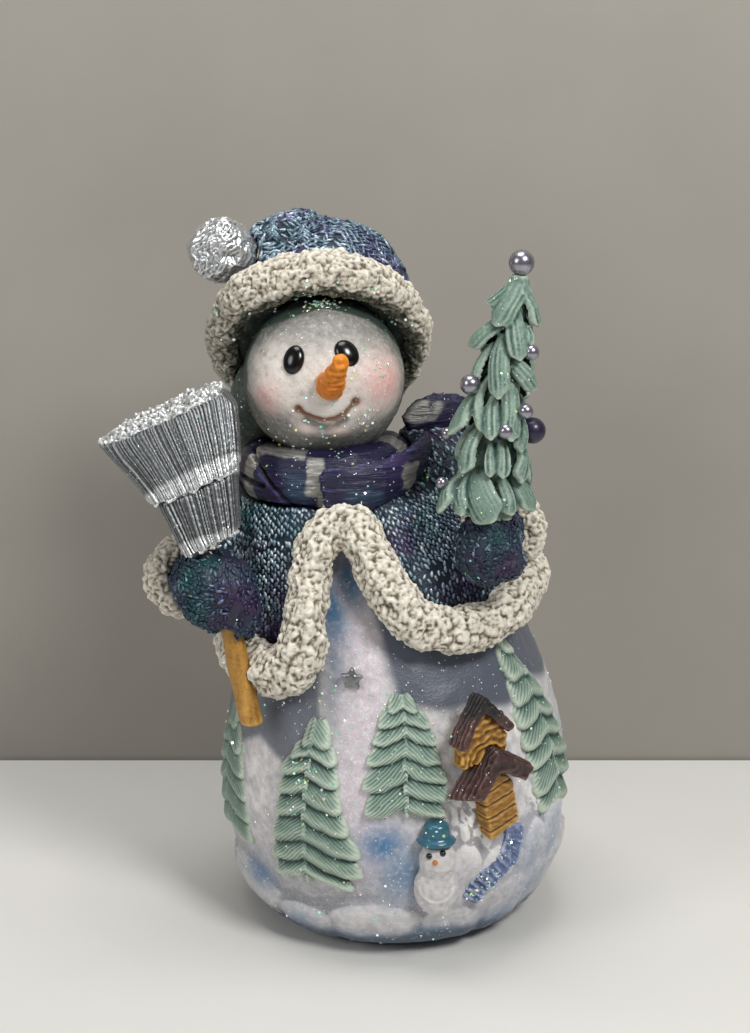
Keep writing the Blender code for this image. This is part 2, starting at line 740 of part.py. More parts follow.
def held_tree():
    rings = []
    sides = TIER_LEAVES * 3
    for tier in range(TIER_COUNT):
        low = 1 - (tier + 1) / TIER_COUNT
        high = 1 - tier / TIER_COUNT
        shoulder, skirt, beneath = [], [], []
        for i in range(sides):
            angle = 2 * math.pi * (i + tier * 1.5) / sides
            reach = tree_reach(low, angle)
            tip = i % 3 != 0
            spread = 1.0 if tip else 0.70
            drop = -0.045 if tip else 0.05
            shoulder.append(tree_point(high - 0.02, 0.55 * tree_reach(high, angle), angle))
            skirt.append(tree_point(low + drop, reach * spread, angle))
            beneath.append(tree_point(low + drop + 0.025, 0.55 * reach * spread, angle))
        rings += [shoulder, skirt, beneath]
    rings[-1] = [point.lerp(TREE_FOOT, 0.6) for point in rings[-1]]
    tree = put("held_tree", loft(bmesh.new(), rings), "leaf", LEAF_PAINT)
    top = TREE_TIP + (TREE_TIP - TREE_FOOT).normalized() * (TOP_BEAD_RADIUS + 0.2 * MM)
    beads = [put("top_bead", ball(top, [TOP_BEAD_RADIUS] * 3, 10, 7), "bead", BEAD_PAINT)]
    for name, share, degrees, out, radius in BEADS:
        centre = tree_point(share, out, math.radians(degrees))
        coat = ("bauble", BAUBLE_PAINT) if name == "purple_bauble" else ("bead", BEAD_PAINT)
        beads.append(put(name, ball(centre, [radius * MM] * 3, 8, 6), *coat))
    cut(tree, *beads)
    return tree, beads


# Relief scene on the body. Places are (angle from the front in degrees, height in millimetres).
# The backs of the relief pieces stand this far off the body's smooth surface, clear of its facets.
SINK = 0.85 * MM


def relief(name, rows, paint_name, recipe):
    """A closed slab that lies along the body: rows of (angle, height, lift) points, each row as long."""
    bm = bmesh.new()
    columns = len(rows[0])
    outer, inner = [], []
    for row in rows:
        places = [(math.radians(angle), height * MM, lift * MM) for angle, height, lift in row]
        outer.append([bm.verts.new(on_body(*place)) for place in places])
        inner.append([bm.verts.new(on_body(angle, height, SINK)) for angle, height, _ in places])
    for i in range(len(rows) - 1):
        for j in range(columns - 1):
            bm.faces.new((outer[i][j], outer[i][j + 1], outer[i + 1][j + 1], outer[i + 1][j]))
            bm.faces.new((inner[i][j], inner[i + 1][j], inner[i + 1][j + 1], inner[i][j + 1]))
    last = len(rows) - 1
    rim = [(0, j) for j in range(columns)]
    rim += [(i, columns - 1) for i in range(1, last + 1)]
    rim += [(last, j) for j in range(columns - 2, -1, -1)]
    rim += [(i, 0) for i in range(last - 1, 0, -1)]
    for (i, j), (k, m) in zip(rim, rim[1:] + rim[:1]):
        bm.faces.new((outer[i][j], inner[i][j], inner[k][m], outer[k][m]))
    return put(name, bm, paint_name, recipe)


def winter_tree(name, middle, foot, tip, half_width, tiers, shift=0.0):
    """A fir in relief: drooping rows of branches, each standing out over the next one down."""
    rows = []
    for tier in range(tiers):
        high = tip + (foot - tip) * tier / tiers
        low = tip + (foot - tip) * (tier + 1) / tiers
        wide = half_width * (0.32 + 0.68 * ((tier + 1) / tiers) ** 0.9)
        narrow = wide * (0.12 if tier == 0 else 0.74)
        droop = 0.28 * (high - low)
        for span, height, lift in ((narrow, high - 0.5, 1.5), (wide, low + 0.2 * (high - low), 2.7)):
            row = []
            for column in (-1, -0.5, 0, 0.5, 1):
                edge = abs(column)
                angle = middle + shift * (tip - height) + span * column
                row.append((angle, height - droop * edge * 2.2 + droop, lift - 1.0 * edge**2))
            rows.append(row)
    return relief(name, rows, "leaf", LEAF_PAINT)


def winter_scene():
    winter_tree("winter_tree_left", -26.5, 19.0, 62.0, 16.0, 6)
    winter_tree("winter_tree_middle", 4.2, 41.5, 69.5, 13.2, 5)
    winter_tree("winter_tree_right", 57.0, 37.5, 76.0, 15.0, 6)
    winter_tree("winter_tree_far_left", -68.0, 21.5, 62.0, 14.0, 6)
    cottage()
    small_snowman()
    star()


def at_wall(angle, height, out, across, up):
    """A point in a frame standing on the body, in millimetres: out from it, across to the right, and up."""
    spot = on_body(math.radians(angle), height * MM)
    away = Vector((math.sin(math.radians(angle)), -math.cos(math.radians(angle)), 0))
    right = Vector((math.cos(math.radians(angle)), math.sin(math.radians(angle)), 0))
    return spot + away * out * MM + right * across * MM + Vector((0, 0, up * MM))


def slab(name, angle, height, outline, near, far, paint_name, recipe, front=None):
    """An outline of (across, up) points on the body, from one distance off it to another."""
    bm = bmesh.new()
    ends = ((near, outline), (far, front or outline))
    rings = [[at_wall(angle, height, out, a, u) for a, u in points] for out, points in ends]
    loft(bm, rings)
    return put(name, bm, paint_name, recipe)


def cottage():
    angle, height = 33.0, 44.0
    walls = [(-12.6, 9.6), (-0.6, 10.6), (-0.6, 16.6), (-8.6, 23.2), (-12.8, 15.6)]
    roof = [(-14.6, 15.2), (-12.9, 14.7), (-8.8, 24.2), (-0.4, 16.8), (0.6, 18.4), (-9.0, 27.4)]
    slab("cottage_upper_walls", angle, height, walls, 0.9, 4.6, "ochre", OCHRE_PAINT)
    upper_roof = slab("cottage_upper_roof", angle, height, roof, 0.9, 6.2, "roof", ROOF_PAINT)
    back = [(-14.6, 1.6), (-12.0, 1.2), (-5.6, 9.0), (4.6, 5.2), (7.2, 6.6), (-5.4, 14.4)]
    front = [(-10.8, 3.2), (-8.6, 2.6), (-4.8, 8.6), (2.8, 4.8), (5.0, 7.4), (-5.4, 13.4)]
    lower_roof = slab("cottage_lower_roof", angle, height, back, 1.0, 8.2, "roof", ROOF_PAINT, front)
    door = [(-4.6, -9.6), (3.2, -6.2), (0.9, 4.6), (-4.4, 7.4), (-7.4, 3.0)]
    slab("cottage_door", angle, height, door, 0.8, 5.4, "ochre", OCHRE_PAINT)
    for walls_name in ("cottage_upper_walls", "cottage_door"):
        cut(bpy.data.objects[walls_name], upper_roof, lower_roof)
    steps = [
        (41.5, 30.5, 1.8),
        (39.0, 27.5, 1.7),
        (36.0, 24.8, 1.7),
        (32.5, 22.4, 1.6),
        (28.5, 20.6, 1.6),
        (24.5, 19.4, 1.5),
    ]
    rows = [[(a - 2.6, z + 1.4, lift), (a, z, lift + 0.3), (a + 2.6, z - 1.6, lift)] for a, z, lift in steps]
    relief("garden_path", rows, "path", PATH_PAINT)


def small_snowman():
    angle = math.radians(12.6)
    body = ball(on_body(angle, 22.4 * MM, 1.6 * MM), mm(5.4, 4.0, 7.2), 14, 9)
    head = ball(on_body(angle, 30.2 * MM, 1.7 * MM), mm(4.5, 3.8, 4.6), 12, 8)
    join(body, head)
    figure = put("small_snowman", body, "snow", SNOW_PAINT)
    fuse(figure, 0.8 * MM, 0.08)
    seat = on_body(math.radians(12.0), 34.2 * MM, 2.0 * MM)
    right, back = Vector((1, 0, 0)), Vector((0, 1, 0))
    rings = []
    for rise, half_width in ((-0.6, 4.4), (0.3, 4.8), (0.9, 3.4), (2.4, 3.2), (3.9, 2.9), (4.4, 2.2)):
        centre = seat + Vector((0, 0, rise * MM))
        rings.append(oval(centre, right, back, half_width * MM, half_width * 0.86 * MM, 12))
    cap = put("small_snowman_hat", loft(bmesh.new(), rings), "small_hat", HAT_PAINT)
    body_object = bpy.data.objects["snow_body"]
    cut(figure, cap, body_object)
    cut(cap, body_object)


def star():
    outline = []
    for i in range(10):
        reach = 2.8 if i % 2 == 0 else 1.25
        angle = math.pi / 2 + 2 * math.pi * i / 10
        outline.append((reach * math.cos(angle), reach * math.sin(angle)))
    slab("star", -12.6, 72.2, outline, 0.7, 1.8, "silver", SILVER_PAINT)


def main():
    clear_scene()
    snow_body()
    room = body_room()
    head = face()
    hat(head)
    scarf_pieces = scarf(head)
    jacket = coat(scarf_pieces, room)
    fur = coat_fur(room)
    cuff_pair = cuffs()
    left_mitten, right_mitten = mittens()
    bristles, brush, handle = broom()
    tree, beads = held_tree()
    cut(jacket, fur, gap=2 * GAP)
    cut(jacket, *cuff_pair, left_mitten, right_mitten)
    cut(fur, *scarf_pieces, *cuff_pair, left_mitten, right_mitten, handle)
    cut(left_mitten, handle, bristles, cuff_pair[0])
    cut(right_mitten, cuff_pair[1])
    cut(tree, right_mitten)
    winter_scene()


main()
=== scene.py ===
"""Snowman figurine, cast in resin and painted by hand: sculpts and paints every piece around its solids."""

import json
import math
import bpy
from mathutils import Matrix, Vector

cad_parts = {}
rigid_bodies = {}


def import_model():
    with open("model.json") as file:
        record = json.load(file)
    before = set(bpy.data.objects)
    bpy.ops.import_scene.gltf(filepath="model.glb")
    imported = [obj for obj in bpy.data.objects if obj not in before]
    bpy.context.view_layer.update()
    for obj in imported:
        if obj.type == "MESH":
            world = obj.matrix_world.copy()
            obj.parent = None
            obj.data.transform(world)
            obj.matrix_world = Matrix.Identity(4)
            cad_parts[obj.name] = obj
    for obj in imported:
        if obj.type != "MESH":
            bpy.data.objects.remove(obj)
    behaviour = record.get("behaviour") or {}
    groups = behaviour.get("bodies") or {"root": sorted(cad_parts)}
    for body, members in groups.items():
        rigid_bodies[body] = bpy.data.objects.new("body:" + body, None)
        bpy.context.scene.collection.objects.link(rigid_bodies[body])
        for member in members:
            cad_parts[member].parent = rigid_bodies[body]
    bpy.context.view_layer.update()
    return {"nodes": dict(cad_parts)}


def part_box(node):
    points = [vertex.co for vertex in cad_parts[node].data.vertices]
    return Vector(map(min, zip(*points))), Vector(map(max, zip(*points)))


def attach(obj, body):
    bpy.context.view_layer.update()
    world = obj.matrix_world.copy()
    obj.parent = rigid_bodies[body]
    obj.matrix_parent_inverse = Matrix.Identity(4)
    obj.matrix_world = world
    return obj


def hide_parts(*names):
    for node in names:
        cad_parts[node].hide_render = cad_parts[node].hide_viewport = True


bl_info = {
    "name": "Painted Snowman Figurine",
    "version": (1, 0, 0),
    "blender": (4, 5, 0),
    "location": "3D View > Sidebar > Snowman",
    "description": "Sculpts and paints a resin snowman with a broom, a little tree and a winter scene",
    "category": "Add Mesh",
}

import bmesh
import bpy
import numpy as np
from bpy.props import FloatProperty, FloatVectorProperty, IntProperty, PointerProperty
from mathutils import Matrix, Vector
from mathutils.bvhtree import BVHTree

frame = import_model()
MM = 0.001


def linear(code):
    """The linear colour of an sRGB hex value."""
    parts = [int(code[i : i + 2], 16) / 255 for i in (1, 3, 5)]
    return (*(p / 12.92 if p <= 0.04045 else ((p + 0.055) / 1.055) ** 2.4 for p in parts), 1.0)


def size(name, about, millimetres):
    """A length in millimetres that the panel shows."""
    return FloatProperty(name=name, description=about, default=millimetres, min=0, soft_max=20)


def colour(name, about, code):
    """A paint that the panel shows, from its sRGB hex value."""
    return FloatVectorProperty(
        name=name, description=about, subtype="COLOR", size=4, min=0, max=1, default=linear(code)
    )


class SnowmanSizes(bpy.types.PropertyGroup):
    """Sizes of the sculpted detail, in millimetres."""

    fur_lump: size("Fur lump", "Width of one tuft of the moulded fur", 2.9)
    fur_depth: size("Fur depth", "How deep the creases between the tufts are", 1.8)
    stitch_width: size("Stitch width", "Spacing of the knitted columns", 1.1)
    stitch_height: size("Stitch height", "Spacing of the stitches in a column", 1.5)
    bristle: size("Bristle ridge", "Width of one ridge of the broom", 0.72)
    leaf_groove: size("Leaf groove", "Spacing of the grooves on the held tree's leaves", 1.15)
    frond_groove: size("Frond groove", "Spacing of the grooves on the relief trees", 0.95)
    flake: size("Glitter flake", "Width of one glitter flake", 0.62)
    flakes: IntProperty(name="Flakes", description="How many glitter flakes", default=950, min=0)


class SnowmanPaints(bpy.types.PropertyGroup):
    """The paints on the figurine."""

    snow: colour("Snow", "Pearl white on the body", "#c8c6c8")
    snow_shade: colour("Snow shade", "Grey wash in the hollows of the snow", "#8f8e96")
    snow_light: colour("Snow light", "Dry-brushed tops of the snow", "#efedee")
    speckle: colour("Speckle", "Pink-lavender speckle down the front fold", "#cdb9c6")
    air_blue: colour("Airbrushed blue", "Soft blue patches on the snow", "#3f749f")
    night: colour("Night sky", "Grey-blue sky behind the trees", "#565b69")
    underside: colour("Underside", "Dark slate-blue band round the foot", "#33475f")
    face: colour("Face", "Pearl white on the face", "#c6beb8")
    blush: colour("Blush", "Pink on the cheeks", "#d99a96")
    mouth: colour("Mouth", "Brown-orange line of the mouth", "#7a4527")
    fur: colour("Fur", "Cream on the fur", "#cfc8ba")
    fur_wash: colour("Fur wash", "Brown-grey wash in the fur", "#3b3228")
    knit_ground: colour("Knit ground", "Dark navy under the stitches", "#1d2a3c")
    knit_purple: colour("Knit purple", "Purple patches under the stitches", "#33203f")
    stitch: colour("Stitch", "Steel-teal metallic on the stitches", "#8da3b3")
    scarf: colour("Scarf", "Indigo of the scarf", "#28264b")
    scarf_silver: colour("Scarf silver", "Silver-grey stripes of the scarf", "#c9c7c0")
    lining: colour("Lining", "Grey-green inside the brim", "#46514a")
    silver: colour("Silver", "Metallic silver on broom and pompom", "#a3a5a7")
    silver_wash: colour("Silver wash", "Dark wash in the silver", "#2e2f31")
    ochre: colour("Ochre", "Ochre wood and walls", "#8c601f")
    ochre_wash: colour("Ochre wash", "Brown wash on the ochre", "#432c10")
    leaf: colour("Leaf", "Sage green of the trees", "#728a7d")
    leaf_wash: colour("Leaf wash", "Teal-green wash under the leaves", "#3e5852")
    leaf_frost: colour("Leaf frost", "Whitish dry-brush on the ridges", "#b6c3b4")
    roof: colour("Roof", "Red-brown thatch", "#402521")
    roof_wash: colour("Roof wash", "Black-brown in the thatch grooves", "#150b0a")
    path: colour("Path", "Blue-lilac garden path", "#5d6b90")
    small_hat: colour("Small hat", "Teal-blue of the tiny hat", "#2f6478")
    carrot: colour("Carrot", "Orange of the nose", "#d27511")
    carrot_wash: colour("Carrot wash", "Brown-orange in the nose's rings", "#8f4208")
    bead: colour("Bead", "Silver-lilac of the beads", "#a9a6b3")
    bauble: colour("Bauble", "Dark purple of the large bauble", "#241a3c")
    floor: colour("Floor", "Pale floor", "#d9d8d5")
    wall: colour("Wall", "Backdrop", "#948f87")


def sizes():
    """The lengths set in the panel."""
    return bpy.context.scene.snowman_sizes


def paints():
    """The paints set in the panel."""
    return bpy.context.scene.snowman_paints


# Sculpting. Points are in millimetres while they are worked on.
def points_of(mesh):
    values = np.empty(3 * len(mesh.vertices))
    mesh.vertices.foreach_get("co", values)
    return values.reshape(-1, 3) / MM


def place_points(mesh, points):
    mesh.vertices.foreach_set("co", (points * MM).ravel())
    mesh.update()


def normals_of(mesh):
    values = np.empty(3 * len(mesh.vertices))
    mesh.vertices.foreach_get("normal", values)
    return values.reshape(-1, 3)


def edges_of(mesh):
    values = np.empty(2 * len(mesh.edges), np.int32)
    mesh.edges.foreach_get("vertices", values)
    return values.reshape(-1, 2)


def write_mask(mesh, name, values):
    """Stores a number for each point, which the paints read."""
    mask = mesh.attributes.get(name) or mesh.attributes.new(name, "FLOAT", "POINT")
    mask.data.foreach_set("value", np.asarray(values, np.float32))


def rubbed(points, edges, rounds):
    """Rubs points smooth: each moves half way to the middle of its neighbours, that many times."""
    count = len(points)
    ends = np.concatenate([edges, edges[:, ::-1]])
    share = np.maximum(np.bincount(ends[:, 0], minlength=count), 1)[:, None]
    for _ in range(rounds):
        sums = [np.bincount(ends[:, 0], points[ends[:, 1], axis], count) for axis in range(3)]
        points = 0.5 * points + 0.5 * np.stack(sums, axis=1) / share
    return points


def scattered(cells, seed):
    """A number from 0 to 1 for each whole-numbered cell, the same on every run."""
    x, y, z = (cells[..., axis].astype(np.int64) for axis in range(3))
    code = x * 374761393 + y * 668265263 + z * 1440662683 + seed * 974634777
    code = (code ^ (code >> 13)) * 1274126177
    return ((code ^ (code >> 16)) & 0xFFFF) / 65535


def rolling(points, width, seed=0):
    """Smooth noise from -1 to 1 with swells of that width."""
    spots = points / width
    base = np.floor(spots)
    part = spots - base
    part = part * part * (3 - 2 * part)
    total = np.zeros(len(points))
    for corner in np.ndindex(2, 2, 2):
        weight = np.prod(np.where(corner, part, 1 - part), axis=1)
        total += weight * scattered(base + corner, seed)
    return 2 * total - 1


def pebbles(points, width, seed=0):
    """How near each point is to the middle of the pebble that it is in, and its gap to the next one."""
    spots = points / width
    base = np.floor(spots)
    near = np.full(len(points), 9.0)
    second = near.copy()
    for corner in np.ndindex(3, 3, 3):
        cell = base + corner - 1
        middle = cell + np.stack([scattered(cell, seed + k) for k in (1, 2, 3)], axis=1)
        gap = np.linalg.norm(spots - middle, axis=1)
        second = np.minimum(second, np.maximum(gap, near))
        near = np.minimum(near, gap)
    return near, second


def swirled(points, width, reach, seed=0):
    """Points pushed about by noise, which makes straight patterns wander."""
    push = [rolling(points, width, seed + 11 * axis) for axis in range(3)]
    return points + reach * np.stack(push, axis=1)


def bump(values, middle, width):
    """A soft bump of height 1 at the middle that fades over the width."""
    return np.exp(-(((values - middle) / width) ** 2))


def step_up(values, edge, width):
    """Runs smoothly from 0 to 1 across an edge."""
    t = np.clip((values - edge) / width + 0.5, 0, 1)
    return t * t * (3 - 2 * t)


def new_object(name, mesh):
    """A new object; one that will stand for a node is named as its cast."""
    obj = bpy.data.objects.new(name + "_cast" if name in frame["nodes"] else name, mesh)
    bpy.context.scene.collection.objects.link(obj)
    return obj


def piece(name):
    """The cast that stands for a node, or else the piece of that name."""
    return bpy.data.objects.get(name + "_cast") or bpy.data.objects[name]


def object_of(name, bm):
    """Turns a finished bmesh into a smooth object with its faces outwards."""
    bmesh.ops.recalc_face_normals(bm, faces=bm.faces)
    mesh = bpy.data.meshes.new(name)
    bm.to_mesh(mesh)
    bm.free()
    mesh.shade_smooth()
    return new_object(name, mesh)


def apply_modifiers(obj):
    """Replaces a mesh by what its modifiers make of it."""
    bpy.context.view_layer.update()
    graph = bpy.context.evaluated_depsgraph_get()
    mesh = bpy.data.meshes.new_from_object(obj.evaluated_get(graph))
    old = obj.data
    obj.modifiers.clear()
    obj.data = mesh
    bpy.data.meshes.remove(old)
    mesh.name = obj.name
    mesh.shade_smooth()
    return obj


def clay(name, cell, softness, swell=0.0, lumps=()):
    """A sculptor's copy of a solid in even cells, rubbed over the softness and then swollen.

    Lumps are ellipsoids of clay pressed on before that: the middle and half sizes of each.
    """
    bm = bmesh.new()
    bm.from_mesh(frame["nodes"][name].data)
    for middle, reach in lumps:
        lump = bmesh.ops.create_uvsphere(bm, u_segments=24, v_segments=16, radius=MM)["verts"]
        bmesh.ops.scale(bm, verts=lump, vec=reach)
        bmesh.ops.translate(bm, verts=lump, vec=Vector(middle) * MM)
    bmesh.ops.remove_doubles(bm, verts=bm.verts, dist=0.01 * MM)
    obj = object_of(name, bm)
    remesh = obj.modifiers.new("cells", "REMESH")
    remesh.mode = "VOXEL"
    remesh.voxel_size = 2 * cell * MM
    apply_modifiers(obj)
    rounds = int((softness / cell) ** 2)
    points = rubbed(points_of(obj.data), edges_of(obj.data), rounds)
    place_points(obj.data, points)
    place_points(obj.data, points + normals_of(obj.data) * swell)
    finer = obj.modifiers.new("finer", "SUBSURF")
    finer.levels = finer.render_levels = 1
    return apply_modifiers(obj)


def raise_surface(obj, heights):
    """Moves each point out along its normal by its height in millimetres."""
    points = points_of(obj.data)
    place_points(obj.data, points + normals_of(obj.data) * np.asarray(heights)[:, None])


def note_relief(obj, rounds):
    """Stores how far each point stands out of the form around it: ridges are above 0 and pits below."""
    points = points_of(obj.data)
    smooth = rubbed(points, edges_of(obj.data), rounds)
    write_mask(obj.data, "relief", np.einsum("ij,ij->i", points - smooth, normals_of(obj.data)))


def finish(obj, slot, material, *nodes):
    """Paints a piece, fixes it to the figurine and lets it stand for its solids."""
    obj.data.materials.clear()
    obj.data.materials.append(material)
    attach(obj, "root")
    if nodes:
        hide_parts(*nodes)
    return obj


def strewn(name, template, places, tints):
    """One mesh of many copies of a small template, with a tint from 0 to 1 stored on each copy."""
    corners = points_of(template) * MM
    loops = np.array([list(face.vertices) for face in template.polygons])
    moved = np.einsum("nij,kj->nki", places[:, :3, :3], corners) + places[:, None, :3, 3]
    faces = (loops[None] + len(corners) * np.arange(len(places))[:, None, None]).reshape(-1, loops.shape[1])
    mesh = bpy.data.meshes.new(name)
    mesh.from_pydata(moved.reshape(-1, 3), [], faces)
    mesh.shade_smooth()
    write_mask(mesh, "tint", np.repeat(tints, len(corners)))
    return new_object(name, mesh)


def frames_on(spots, normals, along, turns, scales):
    """Placing matrices: Z along the normal, Y along a direction turned in the surface."""
    z = normals / np.linalg.norm(normals, axis=1, keepdims=True)
    y = along - z * np.einsum("ij,ij->i", along, z)[:, None]
    y /= np.maximum(np.linalg.norm(y, axis=1, keepdims=True), 1e-9)
    x = np.cross(y, z)
    c, s = np.cos(turns)[:, None], np.sin(turns)[:, None]
    places = np.zeros((len(spots), 4, 4))
    places[:, :3, 0] = (x * c + y * s) * scales[:, None]
    places[:, :3, 1] = (y * c - x * s) * scales[:, None]
    places[:, :3, 2] = z * scales[:, None]
    places[:, :3, 3] = spots * MM
    places[:, 3, 3] = 1
    return places


# Paint and finish. All of them are acrylics brushed on cast resin: washed dark, then dry-brushed light.
def add(tree, kind, inputs=None, stops=None, **settings):
    """Adds a node with its settings; inputs are values, or the sockets that feed it."""
    node = tree.nodes.new("ShaderNode" + kind)
    for name, value in settings.items():
        setattr(node, name, value)
    for name, value in (inputs or {}).items():
        socket = node.inputs[name]
        if isinstance(value, bpy.types.NodeSocket):
            tree.links.new(value, socket)
        else:
            socket.default_value = value
    if stops:
        marks = node.color_ramp.elements
        while len(marks) < len(stops):
            marks.new(0.5)
        for mark, (position, shade) in zip(marks, stops):
            mark.position = position
            mark.color = shade
    return node


def new_paint(name):
    """A material with its Principled shader: (material, tree, shader, object coordinates in millimetres)."""
    material = bpy.data.materials.new(name)
    material.use_nodes = True
    tree = material.node_tree
    shader = tree.nodes["Principled BSDF"]
    place = add(tree, "TexCoord").outputs["Object"]
    millimetres = add(tree, "VectorMath", {0: place, "Scale": 1000.0}, operation="SCALE").outputs[0]
    return material, tree, shader, millimetres


def mixed(tree, share, first, second):
    """A colour between two others, at a share from 0 to 1."""
    return add(tree, "MixRGB", {"Fac": share, "Color1": first, "Color2": second}).outputs[0]


def ridge_share(tree, millimetres, low, high, scatter):
    """From 0 in the pits to 1 on the ridges, broken up by a fine noise as a dry brush skips."""
    relief = add(tree, "Attribute", attribute_name="relief").outputs["Fac"]
    grain = add(tree, "TexNoise", {"Vector": millimetres, "Scale": 1.6, "Detail": 2.0}).outputs["Fac"]
    skip = add(tree, "Math", {0: grain, 1: -0.5}, operation="ADD").outputs[0]
    broken = add(tree, "Math", {0: skip, 1: scatter, 2: relief}, operation="MULTIPLY_ADD").outputs[0]
    spread = {"Value": broken, "From Min": low, "From Max": high}
    return add(tree, "MapRange", spread).outputs["Result"]


def brushed(name, stops, low, high, scatter=0.2, rough=0.5, metal=0.0, grain=0.12, glints=0.0):
    """A wash, a ground and a dry-brushed light over the relief, with fine grain and a few glints."""
    material, tree, shader, millimetres = new_paint(name)
    share = ridge_share(tree, millimetres, low, high, scatter)
    tone = add(tree, "ValToRGB", {"Fac": share}, stops).outputs["Color"]
    if glints:
        tone = glinting(tree, millimetres, tone, shader, glints, rough)
    else:
        shader.inputs["Roughness"].default_value = rough
    tree.links.new(tone, shader.inputs["Base Color"])
    shader.inputs["Metallic"].default_value = metal
    fine = add(tree, "TexNoise", {"Vector": millimetres, "Scale": 2.4, "Detail": 3.0}).outputs["Fac"]
    lift = add(tree, "Bump", {"Height": fine, "Strength": grain, "Distance": 0.0006}).outputs[0]
    tree.links.new(lift, shader.inputs["Normal"])
    return material


def glinting(tree, millimetres, tone, shader, amount, rough):
    """Fine glitter in the varnish: cells 0.4 mm wide, a few of which shine in white or pale aqua."""
    cells = add(tree, "TexVoronoi", {"Vector": millimetres, "Scale": 2.4, "Randomness": 1.0})
    near = add(tree, "MapRange", {"Value": cells.outputs["Distance"], "From Min": 0.42, "From Max": 0.3})
    pick = add(tree, "SeparateColor", {"Color": cells.outputs["Color"]})
    chosen = add(tree, "Math", {0: pick.outputs[0], 1: 1 - amount}, operation="GREATER_THAN").outputs[0]
    shine = add(tree, "Math", {0: near.outputs[0], 1: chosen}, operation="MULTIPLY").outputs[0]
    flake = mixed(tree, pick.outputs[1], linear("#ffffff"), linear("#c9f2e4"))
    dull = add(tree, "MapRange", {"Value": shine, "To Min": rough, "To Max": 0.15}).outputs["Result"]
    tree.links.new(dull, shader.inputs["Roughness"])
    return mixed(tree, shine, tone, flake)


# The body's shape, which every relief piece on it follows.
BELL = [
    # height, radius
    (0, 29.5),
    (2.2, 31.8),
    (5, 35.2),
    (9, 37.8),
    (14, 39.9),
    (20, 41.9),
    (28, 43.4),
    (36, 43.8),
    (46, 43.2),
    (56, 41.2),
    (66, 38.4),
    (76, 34.8),
    (86, 30.6),
    (95, 26.4),
    (101, 22.6),
    (104, 17.0),
]
BODY_TOP = 105.0
LEAN_START = 50.0

# Rounded drifts that stand on the bank: degrees from the front, crest height, half width in degrees, depth
DRIFTS = [
    (-62, 21, 15, 1.6),
    (-34, 14, 12, 1.2),
    (-6, 17.5, 16, 1.3),
    (20, 16.5, 12, 1.2),
    (22, 33, 7, 1.3),
    (33, 31, 8, 1.5),
    (50, 34, 7, 1.8),
    (61, 39, 9, 2.2),
    (74, 27, 14, 2.0),
    (42, 22, 9, 1.5),
    (100, 20, 16, 1.6),
    (128, 24, 18, 1.8),
    (158, 19, 16, 1.6),
    (-172, 23, 18, 1.7),
    (-142, 18, 16, 1.6),
    (-112, 22, 18, 1.6),
    (-86, 17, 14, 1.4),
]


def bell_radius(height):
    """The turned profile, rounded between its stations."""
    heights, radii = np.array(BELL, float).T
    steps = np.linspace(-2.5, 2.5, 9)
    weights = np.exp(-((steps / 1.6) ** 2))
    near = [w * np.interp(np.clip(height + s, 0, None), heights, radii) for s, w in zip(steps, weights)]
    return sum(near) / weights.sum()


def body_lean(height):
    """How far the body's axis leans towards -X at a height."""
    return -0.0035 * np.maximum(height - LEAN_START, 0) ** 2


def soft_drift(degrees, height):
    """The front fold, the hillside and the bank, as broad forms."""
    fold = bump(degrees, -12, 9) * np.clip((height - 22) / 20, 0, 1)
    hillside = bump(degrees, 38, 16) * bump(height, 27, 7)
    angle = np.radians(degrees)
    bank_top = 17 + 4 * np.sin(1.5 * angle) + 1.5 * np.sin(5 * angle + 1)
    bank = (1 - step_up(height, bank_top, 5)) * np.clip(height / 4, 0, 1)
    return 1.1 * fold + 1.2 * hillside + 1.0 * bank


def drifts(degrees, height):
    """Overlapping rounded snow drifts with a soft upper lip."""
    deepest = np.zeros_like(height)
    for middle, crest, half_width, depth in DRIFTS:
        aside = (degrees - middle + 180) % 360 - 180
        top = crest - 0.5 * crest * (aside / (1.6 * half_width)) ** 2
        lip = step_up(top - height, 0.9, 2.2) * np.clip(1.25 - np.maximum(top - height, 0) / 26, 0.35, 1)
        side = np.clip(1.5 - np.abs(aside) / half_width, 0, 1)
        deepest = np.maximum(deepest, depth * lip * step_up(side, 0.5, 1) * np.clip(height / 5, 0, 1))
    return deepest


def on_body(degrees, height, lift=0.0):
    """Points on the body, in millimetres: degrees from the front towards +X, height, and lift off it."""
    degrees, height = np.broadcast_arrays(np.asarray(degrees, float), np.asarray(height, float))
    radius = bell_radius(height) + soft_drift(degrees, height) + lift
    angle = np.radians(degrees)
    x = body_lean(height) + radius * np.sin(angle)
    return np.stack([x, -radius * np.cos(angle), height + 0 * x], axis=-1)


def snow_bell(columns=380, rows=190):
    """The body as a ball of even cells, stretched to the bell: its rows run by length along the profile."""
    bm = bmesh.new()
    bmesh.ops.create_uvsphere(bm, u_segments=columns, v_segments=rows, radius=1)
    obj = object_of("snow_body", bm)
    unit = points_of(obj.data) * MM
    heights = np.concatenate([[0, 0], np.linspace(0, 104, 105), [BODY_TOP]])
    radii = np.concatenate([[0, 29.0], bell_radius(np.linspace(0, 104, 105)), [0]])
    lengths = np.concatenate([[0], np.cumsum(np.hypot(np.diff(heights), np.diff(radii)))])
    share = 1 - np.arccos(np.clip(unit[:, 2], -1, 1)) / math.pi
    height = np.interp(share * lengths[-1], lengths, heights)
    radius = np.interp(share * lengths[-1], lengths, radii)
    angle = np.arctan2(unit[:, 0], -unit[:, 1])
    degrees = np.degrees(angle)
    out = np.clip(radius / 30, 0, 1) ** 2
    radius = radius + soft_drift(degrees, height) * out
    x = body_lean(height) + radius * np.sin(angle)
    place_points(obj.data, np.stack([x, -radius * np.cos(angle), height], axis=1))
    return obj, degrees, height, out


